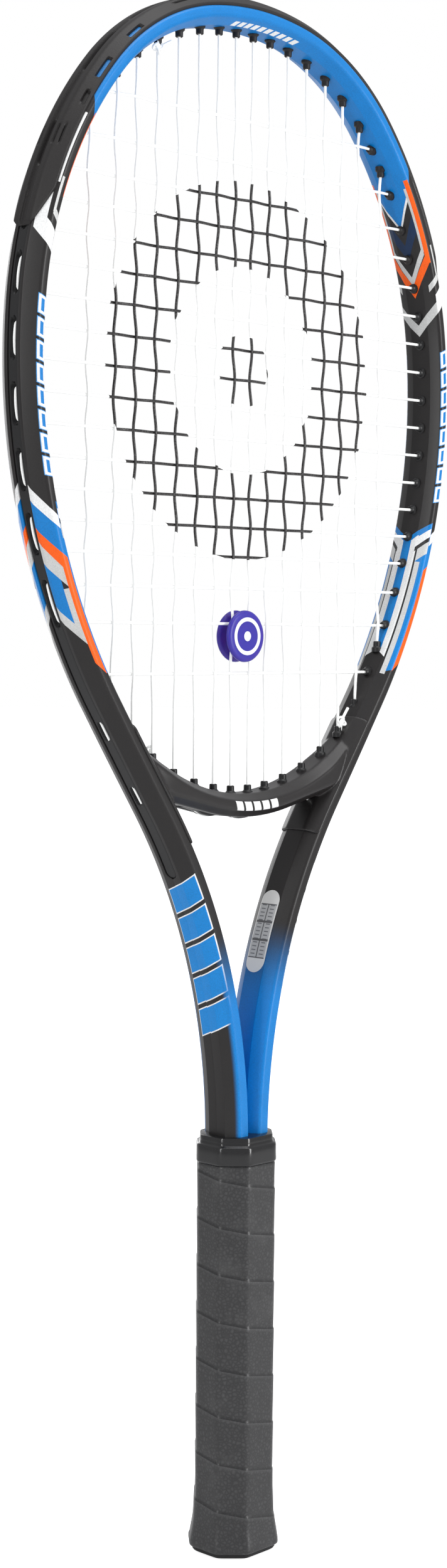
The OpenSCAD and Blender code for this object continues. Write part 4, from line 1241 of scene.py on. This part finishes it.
# How far the taped handle flares at height z: nothing above the flare, half its width at the foot.
def flareAt(z):
    fine = np.arange(-20, 220, 0.5) * mm
    grow = np.interp(fine, np.array(handle["flareAt"]) * mm, np.array(handle["flareShare"]) * handle["flare"])
    return np.interp(z, fine, runningMean(grow))


def ringPoints(z, f, radius):
    return np.stack([radius * np.cos(f), radius * np.sin(f), z + 0 * radius], -1)


# Wound tape: each turn laps the one below it, so over one pitch from its seam the surface falls by a
# narrow bevel with a groove at its foot, then rises evenly: height = step * lap * w, where
# w = frac(z / pitch + f / 2 pi).
def makeGrip():
    f = circle(handle["sides"])[None]
    z = np.arange(handle["tapeFoot"], handle["tapeTop"], handle["row"])[:, None]
    turns = (z - handle["seamStart"]) / handle["pitch"] + f / (2 * math.pi)
    w = turns - np.floor(turns)
    bevel = handle["seam"] / handle["pitch"]
    fall = ease(np.where(w < bevel, 1 - w / bevel, 0))
    seam = handle["lap"] * fall - handle["groove"] * np.sin(math.pi * w / bevel)
    relief = handle["step"] * np.where(w < bevel, seam, w * handle["lap"])
    ends = np.clip(np.minimum(z - handle["tapeFoot"], handle["tapeTop"] - z) / handle["roundEnd"], 0, 1)
    outer = (handleRadius(f, flareAt(z)) - handle["step"] * handle["lap"] + relief
             - (1 - quarter(ends)) * handle["endDrop"])
    inZ = np.linspace(handle["tapeTop"], handle["tapeFoot"], 14)[:, None]
    inner = handleRadius(f, flareAt(inZ) - handle["tape"])
    points = np.concatenate([ringPoints(z, f, outer), ringPoints(inZ, f, inner)])
    shape = newShape()
    addGrid(shape, points, u=np.concatenate([z[:, 0], inZ[:, 0]]), loop=True)
    return shape


def gripMaterial():
    material, tree, shader = newMaterial("gripTape", Sheen_Weight=0.06, Sheen_Roughness=0.5, Coat_Weight=0.3,
                                         Coat_Roughness=0.28)
    where, (_, _, z) = objectPlace(tree)
    # place within one turn of the tape, 0 at the seam
    fromSeam = calc(tree, "SUBTRACT", z, handle["seamStart"] * toMm)
    wound = calc(tree, "DIVIDE", fromSeam, handle["pitch"] * toMm)
    w = calc(tree, "FRACT", calc(tree, "ADD", wound, surfacePlace(tree)[1]))
    # Painted shade: the tape darkens over the bevel and groove at each seam, where the lapped edge above
    # shades it.
    seamShade = addNode(tree, "ShaderNodeMapRange", {0: w, 1: 0.0, 2: 0.085, 3: 1.0, 4: 0.0})
    # Painted highlight: the tape lightens just before each seam, along the raised lip of the lapped turn.
    edge = addNode(tree, "ShaderNodeMapRange", {0: w, 1: 0.93, 2: 1.0, 3: 0.0, 4: 1.0})
    pores = addNode(tree, "ShaderNodeTexVoronoi", {"Vector": where, "Scale": 620.0},
                    feature="DISTANCE_TO_EDGE")
    leather = calc(tree, "MULTIPLY", pores.outputs["Distance"], 2.2, clamp=True)
    rubbed = useGroup(tree, handlingWear, {"Size": 46.0, "Edge": 0.55})
    colour = mixColour(tree, leather, tint(38, 38, 39), tint(62, 62, 63))
    colour = mixColour(tree, calc(tree, "MULTIPLY", rubbed.outputs["Mask"], 0.35), colour, tint(78, 78, 78))
    # painted shade mixed in at the seams
    colour = mixColour(tree, calc(tree, "MULTIPLY", seamShade.outputs[0], 0.7), colour, tint(16, 16, 17))
    # painted highlight mixed in on the raised lips
    colour = mixColour(tree, calc(tree, "MULTIPLY", edge.outputs[0], 0.35), colour, tint(84, 84, 85))
    tree.links.new(colour, shader.inputs["Base Color"])
    rough = calc(tree, "MULTIPLY_ADD", rubbed.outputs["Mask"], -0.08, 0.4)
    tree.links.new(rough, shader.inputs["Roughness"])
    grain = useGroup(tree, surfaceGrain, {"Size": 1500.0, "Strength": 0.2})
    height = calc(tree, "MULTIPLY_ADD", grain.outputs["Height"], 0.4, leather)
    addBump(tree, shader, height, 0.4, 0.00012)
    return material


finishShape(makeGrip(), "gripWrap", gripMaterial(), hides=["grip_tape"], sharp=60)
print("grip made")


# A solid of eight-sided rows: each row is (height, growth) in millimetres.
def addHandleRows(shape, rows, sides=96):
    rows = np.asarray(rows, float) * mm
    f = circle(sides)[None]
    addGrid(shape, ringPoints(rows[:, :1], f, handleRadius(f, rows[:, 1:])), u=rows[:, 0])


band = newShape()
addHandleRows(band, [(171.9, -0.6), (172.0, 0.0), (172.4, 0.35), (173.0, 0.4), (176.0, 0.3), (179.2, 0.3),
                     (179.9, 0.1), (180.2, -0.3), (180.4, -0.9), (180.7, -1.1), (181.6, -1.2), (183.2, -1.2),
                     (183.8, -1.4), (184.0, -1.9)])
bandTape = plainMaterial("finishTape", (26, 26, 27), size=700.0, strength=0.12, bump=0.06, depth=0.0001,
                         roughness=(0.2, 0.32), wear=(90.0, 0.6), Coat_Weight=0.4, Coat_Roughness=0.12)
finishShape(band, "finishingBand", bandTape, hides=["finishing_tape"])


# Butt cap: from the badge's round recess in its foot, out to the eight-sided rim, and up inside the tape.
def makeCap():
    f = circle(96)[None]
    # the recess as (radius, height), then the rim as (height, growth), in millimetres
    recess = ((0.4, 1.25), (9.9, 1.25), (10.05, 1.15), (10.05, 0.35), (10.3, 0.1), (10.8, 0))
    rim = ((0, -2.4), (0.05, -1.2), (0.3, -0.3), (0.8, 0.45), (1.5, 0.95), (2.4, 1.15), (3.2, 1.0),
           (12, -0.9), (24, -1.75), (24, -3.4))
    points = [ringPoints(np.full((1, 1), z * mm), f, np.full_like(f, r * mm)) for r, z in recess]
    points += [ringPoints(np.full((1, 1), z * mm), f, handleRadius(f, grow * mm)) for z, grow in rim]
    shape = newShape()
    addGrid(shape, np.concatenate(points))
    return shape


capPlastic = plainMaterial("capPlastic", (27, 27, 28), size=1100.0, strength=0.15, bump=0.12,
                           roughness=(0.4, 0.55), wear=(70.0, 0.52))
finishShape(makeCap(), "buttCap", capPlastic, hides=["butt_cap"])
badge = newShape()
badgeProfile = np.array([(0.4, 0.95), (3.0, 0.95), (3.3, 0.65), (4.6, 0.65), (4.9, 0.95), (8.3, 0.95),
                         (8.6, 0.6), (9.5, 0.55), (9.9, 0.75), (9.95, 1.2), (0.5, 1.2)]) * mm
addTurned(badge, badgeProfile, (0, 0, 0), (0, 0, 1), sides=64)
badgePlastic = plainMaterial("badgePlastic", (38, 38, 42), size=1300.0, strength=0.1, bump=0.05,
                             roughness=(0.28, 0.4), wear=(90.0, 0.56), Metallic=0.2)
finishShape(badge, "buttBadge", badgePlastic, hides=["butt_badge"])
print("handle parts made")

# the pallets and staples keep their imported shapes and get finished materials
palletFoam = plainMaterial("palletFoam", (96, 97, 98), size=1700.0, strength=0.35, bump=0.5, depth=0.0002,
                           roughness=(0.75, 0.85), wear=(60.0, 0.6))
stapleSteel = plainMaterial("stapleSteel", (186, 188, 190), size=2200.0, strength=0.12, bump=0.1,
                            roughness=(0.24, 0.38), wear=(200.0, 0.55), Metallic=1.0)
for name, material in (("pallet_front", palletFoam), ("pallet_back", palletFoam),
                       ("butt_staples", stapleSteel), ("grip_staple", stapleSteel)):
    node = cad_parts[name]
    node.data.materials.clear()
    node.data.materials.append(material)

# stage: a wide pale floor that glows towards the camera, so that it is as pale as the world behind it
stage = dict(reach=(0.01, 0.5, 1.0, 2.0, 5.0, 12.0), z=-0.0004, colour=(228, 228, 228), glow=0.8)


# Rings of quads round a small middle face.
def makeStage():
    f = circle(96)
    r = np.array(stage["reach"])[:, None]
    points = np.stack([r * np.cos(f), r * np.sin(f), 0 * r * f + stage["z"]], -1)
    n, m = points.shape[:2]
    i, j = np.meshgrid(np.arange(n - 1), np.arange(m), indexing="ij")
    j2 = (j + 1) % m
    quads = np.stack([i * m + j, (i + 1) * m + j, (i + 1) * m + j2, i * m + j2], -1).reshape(-1, 4)
    mesh = bpy.data.meshes.new("stageFloor")
    mesh.from_pydata(points.reshape(-1, 3).tolist(), [], quads.tolist() + [list(range(m))])
    floor = putInScene("stageFloor", mesh)
    material, tree, shader = newMaterial("stagePaper", 0.9, Base_Color=tint(*stage["colour"]),
                                         Emission_Strength=1.0)
    seen = addNode(tree, "ShaderNodeLightPath").outputs["Is Camera Ray"]
    glow = mixColour(tree, seen, (0, 0, 0, 1), (stage["glow"],) * 3 + (1,))
    tree.links.new(glow, shader.inputs["Emission Color"])
    mesh.materials.append(material)


makeStage()
view = dict(turn=46.6, distance=1.106, height=0.4062, roll=0.446, lens=57.1, sensor=36.0, shiftX=-0.0106,
            shiftY=-0.0972)
turn = math.radians(view["turn"])
cameraData = bpy.data.cameras.new("viewCamera")
cameraData.lens, cameraData.sensor_width = view["lens"], view["sensor"]
cameraData.shift_x, cameraData.shift_y = view["shiftX"], view["shiftY"]
cameraData.dof.use_dof = False
camera = putInScene("viewCamera", cameraData)
camera.location = (-view["distance"] * math.sin(turn), -view["distance"] * math.cos(turn), view["height"])
level = Euler((math.pi / 2, 0, -turn)).to_matrix()
camera.rotation_euler = (level @ Matrix.Rotation(math.radians(view["roll"]), 3, "Z")).to_euler()
bpy.context.scene.camera = camera


# A soft light of the given place, watts and size, aimed at the racket's middle.
def addLight(name, location, power, size, aim=(0, 0, 0.36)):
    data = bpy.data.lights.new(name, "AREA")
    data.energy, data.shape, data.size, data.size_y = power, "RECTANGLE", size[0], size[1]
    lamp = putInScene(name, data)
    lamp.location = location
    lamp.rotation_euler = (Vector(aim) - Vector(location)).to_track_quat("-Z", "Y").to_euler()


addLight("keyLight", (-1.9, -0.2, 1.0), 13, (0.35, 1.7))
addLight("fillLight", (0.6, -2.0, 0.8), 27, (0.5, 1.6))
addLight("topLight", (0.1, -0.4, 2.4), 20, (1.4, 1.4))
addLight("backLight", (0.9, 1.9, 0.8), 6, (0.6, 1.5))
world = bpy.data.worlds.new("studioWorld")
bpy.context.scene.world = world
world.use_nodes = True
sky = world.node_tree
seen = addNode(sky, "ShaderNodeLightPath").outputs["Is Camera Ray"]
glow = mixColour(sky, seen, (0.52, 0.52, 0.53, 1), (1, 1, 1, 1))
sky.links.new(glow, sky.nodes["Background"].inputs[0])
bpy.context.scene.view_settings.view_transform = "Standard"
print("stage, camera and lights ready")
